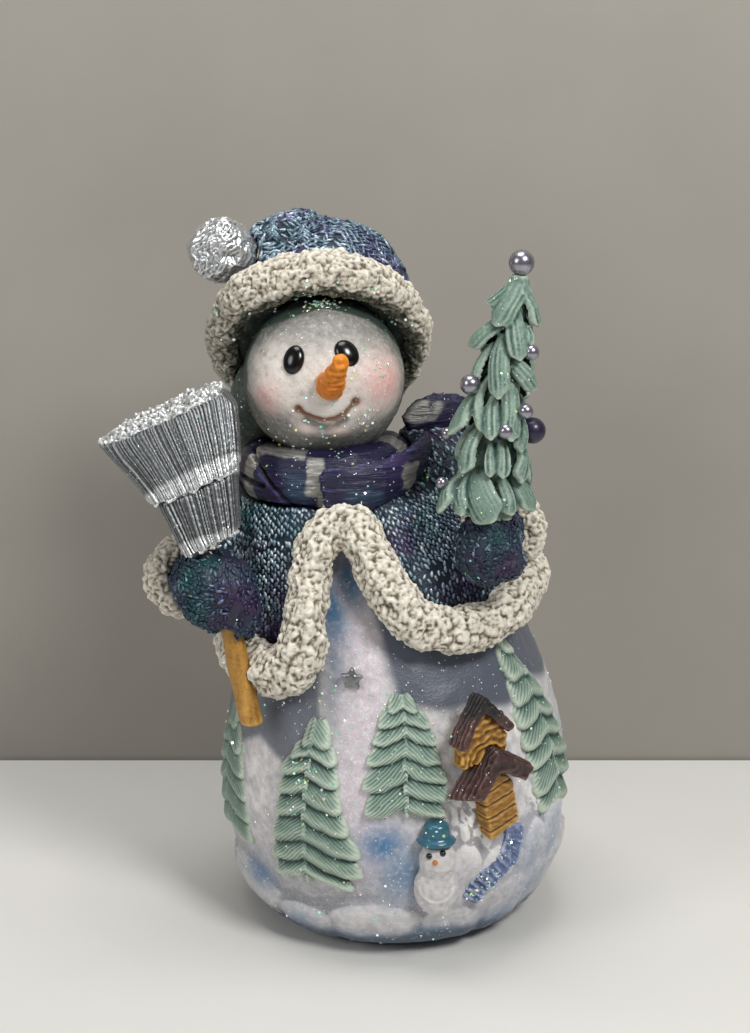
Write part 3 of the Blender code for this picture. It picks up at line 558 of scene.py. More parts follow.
def sky_and_fold_shade_mask(degrees, height):
    """The dark sky: right of the front fold above the hills, and left of it above a snowy peak; also a
    painted shade, in the sky's grey-blue, on the left face of the fold.
    """
    fold_side = np.interp(height, [56, 69, 75, 87, 100], [4.0, 1.0, -0.6, -2.0, -6.0])
    hills = 64 + 1.2 * np.sin(np.radians(degrees * 7)) + 1.0 * np.sin(np.radians(degrees * 13 + 40))
    right = step_up(degrees - fold_side, 1.0, 5) * step_up(height, hills, 3) * (1 - step_up(degrees, 150, 30))
    peak = 53.6 - 0.35 * np.abs(degrees + 50.8)
    left = 0.9 * step_up(-degrees, 26, 4) * step_up(height, peak, 2.5) * (1 - step_up(-degrees, 150, 30))
    fold_shade = 0.4 * bump(degrees, -22, 4) * bump(height, 63, 9)
    return np.maximum(np.maximum(right, left), fold_shade)


def under_mask(degrees, height):
    """The dark band round the foot, with a wavy upper edge."""
    edge = 7.6 + 1.4 * np.sin(np.radians(degrees * 1.3 + 30)) + 0.9 * np.sin(np.radians(degrees * 6))
    return 1 - step_up(height, edge, 3.5)


# Heaped blocks of snow beside the door: degrees, height
SNOW_BLOCKS = [(23, 40), (21, 35), (25, 44), (28, 33), (51, 38), (56, 41)]

# Hills brushed white: degrees, height, half width in degrees, half height
WHITE_HILLS = [
    (20, 56, 7, 8), (45, 58, 8, 8), (-50, 42, 6, 9), (64, 40, 6, 8), (-12, 13, 24, 3), (-45, 13, 14, 3),
]

# Airbrushed blue patches: degrees, height, half width in degrees, half height, strength
AIRBRUSHED = [
    (1, 99, 5, 6, 1.0),
    (-9, 93, 7, 6, 1.0),
    (-19, 86, 7, 8, 0.95),
    (-20, 75, 4, 8, 0.5),
    (-40, 64, 7, 5, 0.6),
    (-3.7, 33, 8, 5.5, 1.0),
    (3, 26, 9, 7, 0.8),
    (60, 28, 8, 9, 0.5),
    (52, 15, 10, 6, 0.5),
    (-53, 17, 7, 4, 0.8),
    (-8, 5.5, 14, 2.6, 0.9),
    (14, 8, 10, 2.6, 0.8),
    (-36, 9, 7, 2.6, 0.6),
    (40, 9, 9, 3, 0.6),
    (48, 25, 5, 7, 0.5),
    (-80, 40, 12, 16, 0.4),
    (95, 45, 14, 16, 0.45),
    (140, 30, 14, 10, 0.5),
    (-140, 40, 16, 14, 0.5),
    (180, 60, 16, 12, 0.4),
]


def pearl_snow():
    """Pearl acrylic sponged on in layers: a mottled white with blue airbrush, speckle and fine glitter, with
    painted shade low on the body.
    """
    colours = paints()
    material, tree, shader, millimetres = new_paint("Sponged pearl acrylic")
    share = ridge_share(tree, millimetres, -0.10, 0.10, 0.12)
    stops = [(0.0, colours.snow_shade), (0.45, colours.snow), (1.0, colours.snow_light)]
    tone = add(tree, "ValToRGB", {"Fac": share}, stops).outputs["Color"]
    mottle = add(tree, "TexNoise", {"Vector": millimetres, "Scale": 0.55, "Detail": 5.0, "Roughness": 0.7})
    patch = add(tree, "MapRange", {"Value": mottle.outputs["Fac"], "From Min": 0.42, "From Max": 0.68})
    tone = mixed(tree, patch.outputs[0], tone, colours.snow_shade)
    tone = mixed(tree, 0.55, tone, colours.snow)
    heap = add(tree, "Attribute", attribute_name="heap").outputs["Fac"]
    tone = mixed(tree, heap, tone, mixed(tree, share, linear("#9fa0a4"), linear("#eeedeb")))
    layers = [
        # The low layer is painted shade: grey darkening towards the foot.
        ("low", linear("#777d86"), 0.5, 0.10, 0.55),
        ("speckle", colours.speckle, 1.5, 0.45, 0.60),
        ("air_blue", colours.air_blue, 0.8, 0.12, 0.50),
        # This layer also carries the painted shade on the fold's left face.
        ("night", colours.night, 0.9, 0.0, 0.25),
        ("under", colours.underside, 0.35, 0.15, 0.45),
    ]
    for name, shade, scale, low, high in layers:
        mask = add(tree, "Attribute", attribute_name=name).outputs["Fac"]
        cloud = add(tree, "TexNoise", {"Vector": millimetres, "Scale": scale, "Detail": 4.0}).outputs["Fac"]
        thick = add(tree, "MapRange", {"Value": cloud, "From Min": low, "From Max": high}).outputs["Result"]
        amount = add(tree, "Math", {0: mask, 1: thick}, operation="MULTIPLY").outputs[0]
        tone = mixed(tree, amount, tone, shade)
    tone = glinting(tree, millimetres, tone, shader, 0.025, 0.42)
    tree.links.new(tone, shader.inputs["Base Color"])
    shader.inputs["Sheen Weight"].default_value = 0.1
    fine = add(tree, "TexNoise", {"Vector": millimetres, "Scale": 1.8, "Detail": 4.0}).outputs["Fac"]
    lift = add(tree, "Bump", {"Height": fine, "Strength": 0.25, "Distance": 0.0007}).outputs[0]
    tree.links.new(lift, shader.inputs["Normal"])
    return material


def fur_paint():
    """Cream acrylic over a brown-grey wash, dry-brushed on the curls; inside the brim the fur is dark paint
    with painted shade, and the brim's lower left side takes painted shade.
    """
    colours = paints()
    material, tree, shader, millimetres = new_paint("Dry-brushed cream fur")
    share = ridge_share(tree, millimetres, -0.36, 0.32, 0.16)
    cream = [
        (0.0, colours.fur_wash), (0.34, linear("#7d7364")), (0.60, colours.fur), (1.0, linear("#ece7dc")),
    ]
    # Dark stops inside the brim: dark paint and painted shade.
    dim = [(0.0, linear("#171916")), (0.45, linear("#3d4238")), (1.0, linear("#9c9783"))]
    tone = add(tree, "ValToRGB", {"Fac": share}, cream).outputs["Color"]
    dark = add(tree, "ValToRGB", {"Fac": share}, dim).outputs["Color"]
    inner = add(tree, "Attribute", attribute_name="inner").outputs["Fac"]
    tone = glinting(tree, millimetres, mixed(tree, inner, tone, dark), shader, 0.012, 0.62)
    tree.links.new(tone, shader.inputs["Base Color"])
    fine = add(tree, "TexNoise", {"Vector": millimetres, "Scale": 2.4, "Detail": 3.0}).outputs["Fac"]
    lift = add(tree, "Bump", {"Height": fine, "Strength": 0.3, "Distance": 0.0006}).outputs[0]
    tree.links.new(lift, shader.inputs["Normal"])
    return material


def leaf_paint(name, low, high):
    """Sage acrylic with a teal wash in the grooves and a frosted dry-brush on the ridges; its darkest stop is
    painted shade in the deep gaps between leaves and under the fronds.
    """
    colours = paints()
    stops = [
        # Painted shade in the deepest gaps.
        (0.0, linear("#1b302e")), (0.28, colours.leaf_wash), (0.55, colours.leaf), (1.0, colours.leaf_frost),
    ]
    return brushed(name, stops, low, high, 0.14, rough=0.5, grain=0.15, glints=0.02)


def silver_paint():
    """Pewter-like silver acrylic, buffed on the ridges and washed black in the grooves."""
    colours = paints()
    stops = [(0.0, colours.silver_wash), (0.45, linear("#7c7d80")), (1.0, colours.silver)]
    return brushed("Buffed silver acrylic", stops, -0.20, 0.20, 0.10, rough=0.33, metal=0.85, grain=0.1)


class SnowBody(bpy.types.Operator):
    """Turns the snow body with its drifts, and paints sky, speckle and underside"""

    bl_idname = "snowman.snow_body"
    bl_label = "Snow body"

    def execute(self, context):
        obj, degrees, height, out = snow_bell()
        points = points_of(obj.data)
        banks = drifts(degrees, height) * out
        grain = 0.10 * rolling(points, 1.0, 3) + 0.16 * rolling(points, 2.6, 4) + 0.30 * rolling(points, 8, 5)
        blocks = sum(bump(degrees, angle, 4.5) * bump(height, z, 5) for angle, z in SNOW_BLOCKS)
        near, second = pebbles(swirled(points * [1, 1, 0.5], 2, 0.8, 6), 2.4, 7)
        strokes = rolling(points * [1, 1, 0.3], 0.9, 8)
        heaped = blocks * (0.7 * np.clip((second - near) * 2.5, 0, 1) + 0.16 * strokes + 0.3)
        raise_surface(obj, banks + heaped + grain * out * np.clip(height / 3, 0, 1))
        points = points_of(obj.data)
        points[:, 2] = np.maximum(points[:, 2], 0)
        place_points(obj.data, points)
        note_relief(obj, 14)
        white = sum(
            bump(degrees, angle, wide) * bump(height, z, tall) for angle, z, wide, tall in WHITE_HILLS
        )
        write_mask(obj.data, "heap", np.clip(blocks + 0.9 * white, 0, 0.9))
        # Painted shade low on the body, lighter on the raised drifts.
        hollows = 1 - 0.5 * np.clip(banks / 1.2, 0, 1)
        write_mask(obj.data, "low", 0.7 * (1 - step_up(height, 25, 26)) * hollows)
        write_mask(obj.data, "night", sky_and_fold_shade_mask(degrees, height))
        write_mask(obj.data, "under", under_mask(degrees, height))
        fold = bump(degrees, -10, 8) * step_up(height, 24, 12)
        write_mask(obj.data, "speckle", np.clip(fold + 0.25, 0, 1))
        blue = np.zeros(len(points))
        for angle, z, wide, tall, strength in AIRBRUSHED:
            aside = (degrees - angle + 180) % 360 - 180
            blue = np.maximum(blue, strength * bump(aside, 0, wide) * bump(height, z, tall))
        write_mask(obj.data, "air_blue", blue)
        finish(obj, "snow", pearl_snow(), "snow_body")
        return {"FINISHED"}


# Head and face. Places on the face are degrees right of and above its middle.
HEAD_CENTRE = np.array([-17.1, -5.0, 137.5])
HEAD_RADIUS = 19.5
HEAD_ROLL = math.radians(5)
MOUTH = [
    (-15.3, -14.5), (-10.4, -17.3), (-3.1, -19.5), (3.8, -20.7), (11.3, -19.2), (17.8, -14.3), (24.7, -6.2),
]
# Where the lining's green begins on each side: degrees above the middle, and degrees right of it there
LINING_WEST = [(-40, -2.5, 18, 34, 49, 60, 65), (-75, -67, -74, -72, -44, -25, -7)]
LINING_EAST = [(-30, -10, 5, 26, 43, 55, 62, 65), (85, 78, 79, 87, 72, 51, 25, -7)]
# Swellings of the face: middle, reach, height in millimetres
SWELLINGS = [
    ((-38, -9), (16, 14), 1.1),
    ((46, 4), (17, 17), 1.1),
    ((4, -9), (15, 8), 0.6),
    ((-12, -31), (12, 7), 0.7),
    ((20, -26), (13, 7), 0.7),
    ((4, -31), (20, 8), 0.6),
    ((-22, 19), (9, 11), -0.3),
    ((17, 28), (10, 10), -0.3),
]
# Eyes: node, middle in millimetres, half width, half height, lean in degrees
EYES = [
    ("left_eye", (-23.5, -21.9, 144.4), 2.55, 3.45, 9),
    ("right_eye", (-11.3, -21.3, 145.8), 2.75, 3.35, -32),
]


def face_axes():
    """The ways right and up on the face, which the head's tilt turns."""
    right = np.array([math.cos(HEAD_ROLL), 0, -math.sin(HEAD_ROLL)])
    up = np.array([math.sin(HEAD_ROLL), 0, math.cos(HEAD_ROLL)])
    return right, up


def face_place(points):
    """Degrees right of and above the face's middle."""
    right, up = face_axes()
    away = (points - HEAD_CENTRE) / np.linalg.norm(points - HEAD_CENTRE, axis=1, keepdims=True)
    return np.degrees(np.arctan2(away @ right, -away[:, 1])), np.degrees(np.arcsin(away @ up))


def line_gap(across, up, line):
    """How far places are from a line of places, in the same units."""
    gap = np.full(len(across), 99.0)
    for a, b in zip(np.array(line[:-1]), np.array(line[1:])):
        way = b - a
        share = np.clip(((across - a[0]) * way[0] + (up - a[1]) * way[1]) / (way @ way), 0, 1)
        gap = np.minimum(gap, np.hypot(across - a[0] - share * way[0], up - a[1] - share * way[1]))
    return gap


def face_spot(yaw, pitch, middle, reach):
    """A soft oval on the face, 1 in its middle."""
    return bump(yaw, middle[0], reach[0]) * bump(pitch, middle[1], reach[1])


def face_paint():
    """Pearl acrylic with a grey wash, rubbed-in pink cheeks, a painted mouth, dark specks and fine glitter;
    painted shade lies under the cheeks and lip, at the chin, at the face's edges and where the hat shades the
    forehead, and the dark specks are painted shade of the glitter.
    """
    colours = paints()
    material, tree, shader, millimetres = new_paint("Blushed pearl acrylic")
    share = ridge_share(tree, millimetres, -0.06, 0.07, 0.10)
    stops = [(0.0, linear("#918a86")), (0.5, colours.face), (1.0, linear("#dad3cd"))]
    tone = add(tree, "ValToRGB", {"Fac": share}, stops).outputs["Color"]
    mottle = add(tree, "TexNoise", {"Vector": millimetres, "Scale": 0.9, "Detail": 5.0, "Roughness": 0.7})
    layers = [
        # Painted shade, under the cheeks and lip, at the chin, at the edges and under the hat.
        ("shade", linear("#565c58"), 0.0, 0.55),
        ("blush", colours.blush, 0.22, 0.60),
        ("mouth", colours.mouth, 0.0, 0.3),
        # The lining's grey-green on the face's edge, darkened as painted shade of the brim.
        ("lining", linear("#33413a"), 0.0, 0.2),
    ]
    for name, shade, low, high in layers:
        mask = add(tree, "Attribute", attribute_name=name).outputs["Fac"]
        thick = add(tree, "MapRange", {"Value": mottle.outputs["Fac"], "From Min": low, "From Max": high})
        amount = add(tree, "Math", {0: mask, 1: thick.outputs[0]}, operation="MULTIPLY").outputs[0]
        tone = mixed(tree, amount, tone, shade)
    # Dark specks: painted shade of the glitter.
    dark_speck_noise = add(tree, "TexNoise", {"Vector": millimetres, "Scale": 3.0, "Detail": 2.0}).outputs["Fac"]
    speck = add(tree, "MapRange", {"Value": dark_speck_noise, "From Min": 0.60, "From Max": 0.70, "To Max": 0.28})
    tone = mixed(tree, speck.outputs[0], tone, linear("#5f5358"))
    tone = glinting(tree, millimetres, tone, shader, 0.025, 0.5)
    tree.links.new(tone, shader.inputs["Base Color"])
    shader.inputs["Coat Weight"].default_value = 0.04
    fine = add(tree, "TexNoise", {"Vector": millimetres, "Scale": 2.2, "Detail": 3.0}).outputs["Fac"]
    lift = add(tree, "Bump", {"Height": fine, "Strength": 0.2, "Distance": 0.0006}).outputs[0]
    tree.links.new(lift, shader.inputs["Normal"])
    return material


def enamel(name, shade, rough, metal=0.0, coat=0.3):
    """Gloss enamel, which reads as wet: one smooth colour whose gloss varies a little."""
    material, tree, shader, millimetres = new_paint(name)
    cloud = add(tree, "TexNoise", {"Vector": millimetres, "Scale": 0.9, "Detail": 2.0}).outputs["Fac"]
    tone = mixed(tree, cloud, shade, [0.7 * part for part in shade[:3]] + [1.0])
    tree.links.new(tone, shader.inputs["Base Color"])
    gloss = add(tree, "MapRange", {"Value": cloud, "To Min": 0.7 * rough, "To Max": 1.4 * rough})
    tree.links.new(gloss.outputs[0], shader.inputs["Roughness"])
    shader.inputs["Metallic"].default_value = metal
    shader.inputs["Coat Weight"].default_value = coat
    shader.inputs["Coat Roughness"].default_value = 0.12
    return material


class HeadAndFace(bpy.types.Operator):
    """Models the head with cheeks, mouth and chin, the eyes and the knobbly carrot nose"""

    bl_idname = "snowman.head"
    bl_label = "Head and face"

    def execute(self, context):
        bm = bmesh.new()
        bmesh.ops.create_uvsphere(bm, u_segments=220, v_segments=120, radius=HEAD_RADIUS * MM)
        bmesh.ops.translate(bm, verts=bm.verts, vec=Vector(HEAD_CENTRE * MM))
        head = object_of("head", bm)
        points = points_of(head.data)
        yaw, pitch = face_place(points)
        front = step_up(np.cos(np.radians(yaw)), 0.1, 0.4)
        swell = sum(height * face_spot(yaw, pitch, middle, reach) for middle, reach, height in SWELLINGS)
        gap = line_gap(yaw, pitch, MOUTH)
        dimples = sum(face_spot(yaw, pitch, end, (3.2, 3.2)) for end in (MOUTH[0], MOUTH[-1]))
        under_lip = bump(line_gap(yaw, pitch, [(a + 1, b - 5) for a, b in MOUTH[1:-1]]), 0, 3.0)
        grain = 0.06 * rolling(points, 0.9, 31) + 0.09 * rolling(points, 2.2, 32)
        grain = grain + 0.14 * rolling(points, 7, 33)
        cut = 0.5 * bump(gap, 0, 1.7) + 0.6 * dimples
        raise_surface(head, (swell - 0.45 * under_lip) * front - cut + grain)
        note_relief(head, 14)
        pink = face_spot(yaw, pitch, (-10, -28), (8, 4.5)) + face_spot(yaw, pitch, (16, -28), (9, 4.5))
        blush = 0.8 * face_spot(yaw, pitch, (-40, -9), (12, 11))
        blush = blush + 1.1 * face_spot(yaw, pitch, (47, 8), (17, 16)) + 0.3 * pink
        write_mask(head.data, "blush", np.clip(blush, 0, 1) * front)
        line = 0.9 * bump(gap + 0.8 * rolling(points, 1.2, 34), 0, 1.9)
        write_mask(head.data, "mouth", np.clip(np.maximum(line, 1.2 * dimples), 0, 1) * front)
        # Painted shade: under the cheeks and at the chin's sides, on the forehead where the hat shades it, at
        # the face's edges and in the groove under the lip; the chin's two bulges are left out and take a
        # little pink.
        low = 0.8 * step_up(0.15 * np.abs(yaw - 4) - pitch, 24, 18) * (1 - 0.8 * np.clip(pink, 0, 1))
        rim = 0.75 * step_up(pitch, 28, 32) + 0.7 * step_up(np.abs(yaw - 4), 60, 26)
        write_mask(head.data, "shade", np.clip(low + rim + 0.7 * under_lip * front, 0, 0.9))
        # The face's edge beside the brim takes the lining's dark grey-green, as paint and as painted shade of
        # the brim.
        west, east = np.interp(pitch, *LINING_WEST), np.interp(pitch, *LINING_EAST)
        inside = np.minimum(yaw - west, east - yaw) * np.cos(np.radians(pitch)) + 2 * rolling(points, 2.5, 35)
        write_mask(head.data, "lining", 1 - step_up(inside, 1, 7))
        finish(head, "face", face_paint(), "head")

        black = enamel("Black gloss enamel", linear("#050506"), 0.2, coat=0.05)
        for name, middle, half_width, half_height, lean in EYES:
            bm = bmesh.new()
            bmesh.ops.create_uvsphere(bm, u_segments=40, v_segments=24, radius=MM)
            bmesh.ops.scale(bm, verts=bm.verts, vec=(half_width, 1.5, half_height))
            tilt = Matrix.Rotation(math.radians(lean), 3, "Y")
            away = Vector(middle) - Vector(HEAD_CENTRE)
            facing = Vector((0, -1, 0)).rotation_difference(away).to_matrix()
            bmesh.ops.transform(bm, matrix=(facing @ tilt).to_4x4(), verts=bm.verts)
            bmesh.ops.translate(bm, verts=bm.verts, vec=Vector(middle) * MM)
            finish(object_of(name, bm), "eye", black, name)

        nose = clay("carrot_nose", 0.26, 0.9, 0.2)
        points = points_of(nose.data)
        axis = np.array([3.5, -13.6, 9.1]) / np.linalg.norm([3.5, -13.6, 9.1])
        along = (points - points[np.argmin(points @ axis)]) @ axis
        shorter = points - 0.12 * np.maximum(along - 3, 0)[:, None] * axis
        place_points(nose.data, shorter)
        knob = bump(along, along.max() - 1.6, 2.2)
        creases = rolling(points * [0.5, 1, 1.6], 1.5, 41)
        raise_surface(nose, 0.35 * knob + 0.32 * creases + 0.14 * rolling(points, 0.8, 42))
        note_relief(nose, 10)
        colours = paints()
        stops = [(0.0, colours.carrot_wash), (0.5, colours.carrot), (1.0, linear("#e8912a"))]
        orange = brushed("Creased orange acrylic", stops, -0.16, 0.14, 0.06, rough=0.42, grain=0.1)
        finish(nose, "carrot", orange, "carrot_nose")
        return {"FINISHED"}


# Fur.
def curls(points, width, seed):
    """1 along the crests of curling ridges about that far apart, below 0 in the pits between them."""
    return 1 - np.minimum(np.abs(rolling(points, width, seed)) / 0.30, 1.5)


def crumbs(points, width, seed):
    """Rounded crumbs about that wide, from 1 on their tops to below 0 in the gaps between them."""
    near, _ = pebbles(points, width, seed)
    return 1 - 1.7 * near**2


def fur_height(points, seed):
    """Moulded fur: lumps made of small crumbs and curls, with deep pits between them."""
    lump, depth = sizes().fur_lump, sizes().fur_depth
    wandering = swirled(points, 1.5, 0.6, seed)
    lumps = rolling(wandering, 1.1 * lump, seed + 1)
    large = crumbs(wandering, 0.78 * lump, seed + 2)
    curling = curls(wandering, 0.62 * lump, seed + 3)
    small = crumbs(swirled(points, 0.8, 0.35, seed + 4), 0.40 * lump, seed + 5)
    return depth * (0.30 * lumps + 0.30 * large + 0.14 * curling + 0.20 * small - 0.22)


class FurTrims(bpy.types.Operator):
    """Sculpts the fur of the brim, the coat's edging and the cuffs"""

    bl_idname = "snowman.fur"
    bl_label = "Fur trims"

    def execute(self, context):
        cream = fur_paint()
        for seed, (name, cell) in enumerate(
            [("coat_fur", 0.365), ("hat_fur", 0.28), ("left_cuff", 0.28), ("right_cuff", 0.28)]
        ):
            obj = clay(name, cell, 1.0, 0.35)
            points = points_of(obj.data)
            raise_surface(obj, fur_height(points, 100 + 20 * seed))
            note_relief(obj, 14)
            # Inside the brim the fur is painted dark, partly as painted shade; the brim's lower left side
            # takes a lighter painted shade.
            deep = np.linalg.norm(points - HEAD_CENTRE, axis=1) + 0.8 * rolling(points, 3, 108)
            shaded_flank = 0.45 * step_up(-points[:, 0] - 0.4 * points[:, 2], -26, 8)
            inner = np.maximum(1 - step_up(deep, 25.2, 2.2), shaded_flank) if name == "hat_fur" else 0 * deep
            write_mask(obj.data, "inner", inner)
            finish(obj, "fur", cream, name)
        return {"FINISHED"}


# Knitting. A bone is a line through a garment; columns of stitches run along it.
COAT_BONES = [
    # (radius of the sleeve or trunk there, points in millimetres)
    (33, [(-3.4, -1, 66), (-6, -1, 92), (-15, -1, 122)]),
    (10, [(-18, 0, 110), (-34, 1.5, 102), (-45.5, -1, 94.5), (-50.2, -8, 91), (-51, -18, 90.4)]),
    (10, [(-2, 1, 113), (13, 2, 113.5), (22.5, -4, 108.5), (25.6, -10, 105), (26, -20, 103.6)]),
]
HAT_BONES = [(18, [(-18.5, 3, 146), (-15, 9, 158), (-21, 7, 168), (-30, 4, 170.5), (-40, 2, 167)])]
LEFT_MITTEN_BONES = [(8, [(-51, -12, 90.3), (-46, -24, 91), (-39, -40, 91.6)])]
RIGHT_MITTEN_BONES = [(7, [(26, -15, 103.5), (23, -28, 103.5), (19, -46, 103.5)])]


def along_bone(points, bone):
    """Distance from a bone, how far round it and along it each point lies, its direction and the way out."""
    best = np.full(len(points), np.inf)
    around = np.zeros(len(points))
    along = np.zeros(len(points))
    ways, outs = np.zeros((len(points), 3)), np.zeros((len(points), 3))
    start = 0.0
    for a, b in zip(np.array(bone[:-1], float), np.array(bone[1:], float)):
        length = np.linalg.norm(b - a)
        way = (b - a) / length
        t = (points - a) @ way
        foot = a + way * np.clip(t, 0, length)[:, None]
        gap = np.linalg.norm(points - foot, axis=1)
        side = np.cross(way, [0.0, -1.0, 0.15])
        side /= np.linalg.norm(side)
        off = points - foot
        angle = np.arctan2(off @ np.cross(way, side), off @ side)
        closer = gap < best
        best = np.where(closer, gap, best)
        around = np.where(closer, angle, around)
        along = np.where(closer, start + np.clip(t, 0, length), along)
        ways[closer] = way
        outs[closer] = off[closer] / np.maximum(gap[closer], 0.01)[:, None]
        start += length
    return best, around, along, ways, outs


def middles(keys, *values):
    """The mean of each set of values over the points that share a key, and how many points share it."""
    _, index, members = np.unique(keys, return_inverse=True, return_counts=True)
    means = [np.stack([np.bincount(index, v[:, k]) for k in range(v.shape[1])], axis=1) for v in values]
    return [mean / members[:, None] for mean in means], members


def block_keys(points, width):
    """A number for the cube of that width that each point is in."""
    x, y, z = (np.floor(points / width).astype(np.int64) + 500).T
    return (x * 1000 + y) * 1000 + z


def stitch_cells(points, normals, around, along, ways):
    """Middles of a knitted pattern's staggered cells, then of what they leave bare, with their leans."""
    width, height = sizes().stitch_width, sizes().stitch_height
    column = np.floor(around / width).astype(int)
    row = np.floor(along / height + 0.5 * (column % 2)).astype(int)
    leans = np.where(column % 2, 1.0, -1.0)[:, None]
    cells, members = middles(column * 10000 + row, points, normals, ways, leans)
    whole = members >= 0.4 * np.median(members)
    cells = [values[whole] for values in cells]
    covered = np.concatenate(
        [block_keys(cells[0] + np.array(corner) * 0.8 - 0.8, 0.8) for corner in np.ndindex(3, 3, 3)]
    )
    bare = ~np.isin(block_keys(points, 0.8), covered)
    if bare.any():
        left = (values[bare] for values in (points, normals, ways, leans))
        patches, _ = middles(block_keys(points[bare], 1.2), *left)
        cells = [np.concatenate(pair) for pair in zip(cells, patches)]
    return cells


def stitch_template(long):
    """One stitch: a plump grain, longer than it is wide."""
    bm = bmesh.new()
    bmesh.ops.create_icosphere(bm, subdivisions=1, radius=MM)
    half_width, half_height = 0.36 * sizes().stitch_width, 0.58 * sizes().stitch_height
    bmesh.ops.scale(bm, verts=bm.verts, vec=(half_width, long * half_height, 0.36))
    mesh = bpy.data.meshes.new("stitch")
    bm.to_mesh(mesh)
    bm.free()
    return mesh


# Colour zones of the knitting: place in millimetres, reach
PURPLE_ZONES = [
    ((-28, -29, 80), 5), ((17, -26, 91), 5), ((24, -19, 88), 6), ((-38, -34, 100), 3.5), ((-37, -39, 92), 4),
    ((-33, -37, 89), 4), ((-41, -39, 86), 4), ((26, -41, 101), 3), ((25, -41, 99), 3), ((15, -20, 108), 5),
    ((-20, -12, 163), 5), ((4, -3, 160), 14), ((40, -2, 105), 7), ((-8, 36, 85), 12), ((-30, 12, 160), 6),
]
TEAL_ZONES = [
    ((-27, -15, 108), 6), ((-34, -12, 106), 6), ((-43, -35, 100), 4), ((-48, -36, 96), 4.5),
    ((-46, -38, 89), 4), ((23, -41, 107), 3.5), ((-12, -12, 165), 4), ((6, -18, 104), 5),
    ((20, 25, 95), 10), ((-5, 10, 166), 6),
]


def zone_share(points, zones):
    """1 in the middle of the nearest colour zone, fading over its reach."""
    share = np.zeros(len(points))
    for middle, reach in zones:
        share = np.maximum(share, bump(np.linalg.norm(points - middle, axis=1), 0, reach))
    return share


def write_zones(mesh, points, times=1):
    """Stores the colour zones of the knitting, repeated for each copy's corners."""
    for name, zones in (("purple", PURPLE_ZONES), ("teal", TEAL_ZONES)):
        write_mask(mesh, name, np.repeat(zone_share(points, zones), times))


def knit(obj, bones, name, material, slot, lean, seed, wild=9, plump=1.0, long=1.0, bright=0.5):
    """Covers a garment with stitches that follow the nearest bone; wild is how far they turn, in degrees."""
    points, normals = points_of(obj.data), normals_of(obj.data)
    found = [along_bone(points, bone) for _, bone in bones]
    nearest = np.argmin([best - radius for (radius, _), (best, *_) in zip(bones, found)], axis=0)
    random = np.random.default_rng(seed)
    spots, facings, headings, slants = [], [], [], []
    for i, (radius, _) in enumerate(bones):
        _, around, along, ways, outs = found[i]
        mine = (nearest == i) & (np.einsum("ij,ij->i", outs, normals) > 0.15)
        cells = stitch_cells(points[mine], normals[mine], around[mine] * radius, along[mine], ways[mine])
        middle, facing, heading, leans = cells
        spots.append(middle)
        facings.append(facing)
        headings.append(heading)
        slants.append(lean * np.sign(leans[:, 0]))
    spots, facings, headings = (np.concatenate(parts) for parts in (spots, facings, headings))
    slants = np.radians(np.concatenate(slants) + random.normal(0, wild, len(spots)))
    scales = plump * random.uniform(0.82, 1.2, len(spots))
    spots = spots + facings * 0.16 + random.normal(0, 0.09, spots.shape)
    dull = 0.3 * zone_share(spots, PURPLE_ZONES)
    tints = np.clip(random.normal(bright, 0.2, len(spots)) + 0.25 * rolling(spots, 5, seed) - dull, 0, 1)
    places = frames_on(spots, facings, headings, slants, scales)
    template = stitch_template(long)
    stitches = strewn(name, template, places, tints)
    write_zones(stitches.data, spots, len(template.vertices))
    return finish(stitches, slot, material)


def zoned(tree, millimetres, base, purple, teal):
    """Airbrushed zones of purple and teal over a base colour, with soft clouds of purple between them."""
    cloud = add(tree, "TexNoise", {"Vector": millimetres, "Scale": 0.13, "Detail": 3.0}).outputs["Fac"]
    wide = add(tree, "MapRange", {"Value": cloud, "From Min": 0.52, "From Max": 0.66, "To Max": 0.8})
    drift = add(tree, "MapRange", {"Value": cloud, "From Min": 0.46, "From Max": 0.36, "To Max": 0.3})
    for name, shade, other in (("purple", purple, wide), ("teal", teal, drift)):
        mask = add(tree, "Attribute", attribute_name=name).outputs["Fac"]
        share = add(tree, "Math", {0: mask, 1: other.outputs[0]}, operation="MAXIMUM").outputs[0]
        base = mixed(tree, share, base, shade)
    return base


def knit_ground(name):
    """Navy, purple and teal acrylic in clouds under the stitches, dull in the hollows."""
    colours = paints()
    material, tree, shader, millimetres = new_paint(name)
    tone = zoned(tree, millimetres, colours.knit_ground, colours.knit_purple, linear("#17393f"))
    tree.links.new(tone, shader.inputs["Base Color"])
    shader.inputs["Roughness"].default_value = 0.5
    fine = add(tree, "TexNoise", {"Vector": millimetres, "Scale": 1.6, "Detail": 3.0}).outputs["Fac"]
    lift = add(tree, "Bump", {"Height": fine, "Strength": 0.5, "Distance": 0.0008}).outputs[0]
    tree.links.new(lift, shader.inputs["Normal"])
    return material


def stitch_paint():
    """Metallic acrylic dry-brushed on the stitches, steel, purple or teal: each takes its own amount."""
    colours = paints()
    material, tree, shader, millimetres = new_paint("Dry-brushed steel-teal metallic")
    tint = add(tree, "Attribute", attribute_name="tint").outputs["Fac"]
    low = zoned(tree, millimetres, linear("#33465c"), linear("#3a2d57"), linear("#22505a"))
    middle = zoned(tree, millimetres, colours.stitch, linear("#6a5c92"), linear("#4f8d90"))
    share = add(tree, "MapRange", {"Value": tint, "From Min": 0.15, "From Max": 0.62}).outputs["Result"]
    tone = mixed(tree, share, low, middle)
    high = add(tree, "MapRange", {"Value": tint, "From Min": 0.66, "From Max": 0.95}).outputs["Result"]
    tone = mixed(tree, high, tone, linear("#c9dae2"))
    tree.links.new(tone, shader.inputs["Base Color"])
    shader.inputs["Metallic"].default_value = 0.45
    shader.inputs["Roughness"].default_value = 0.36
    return material


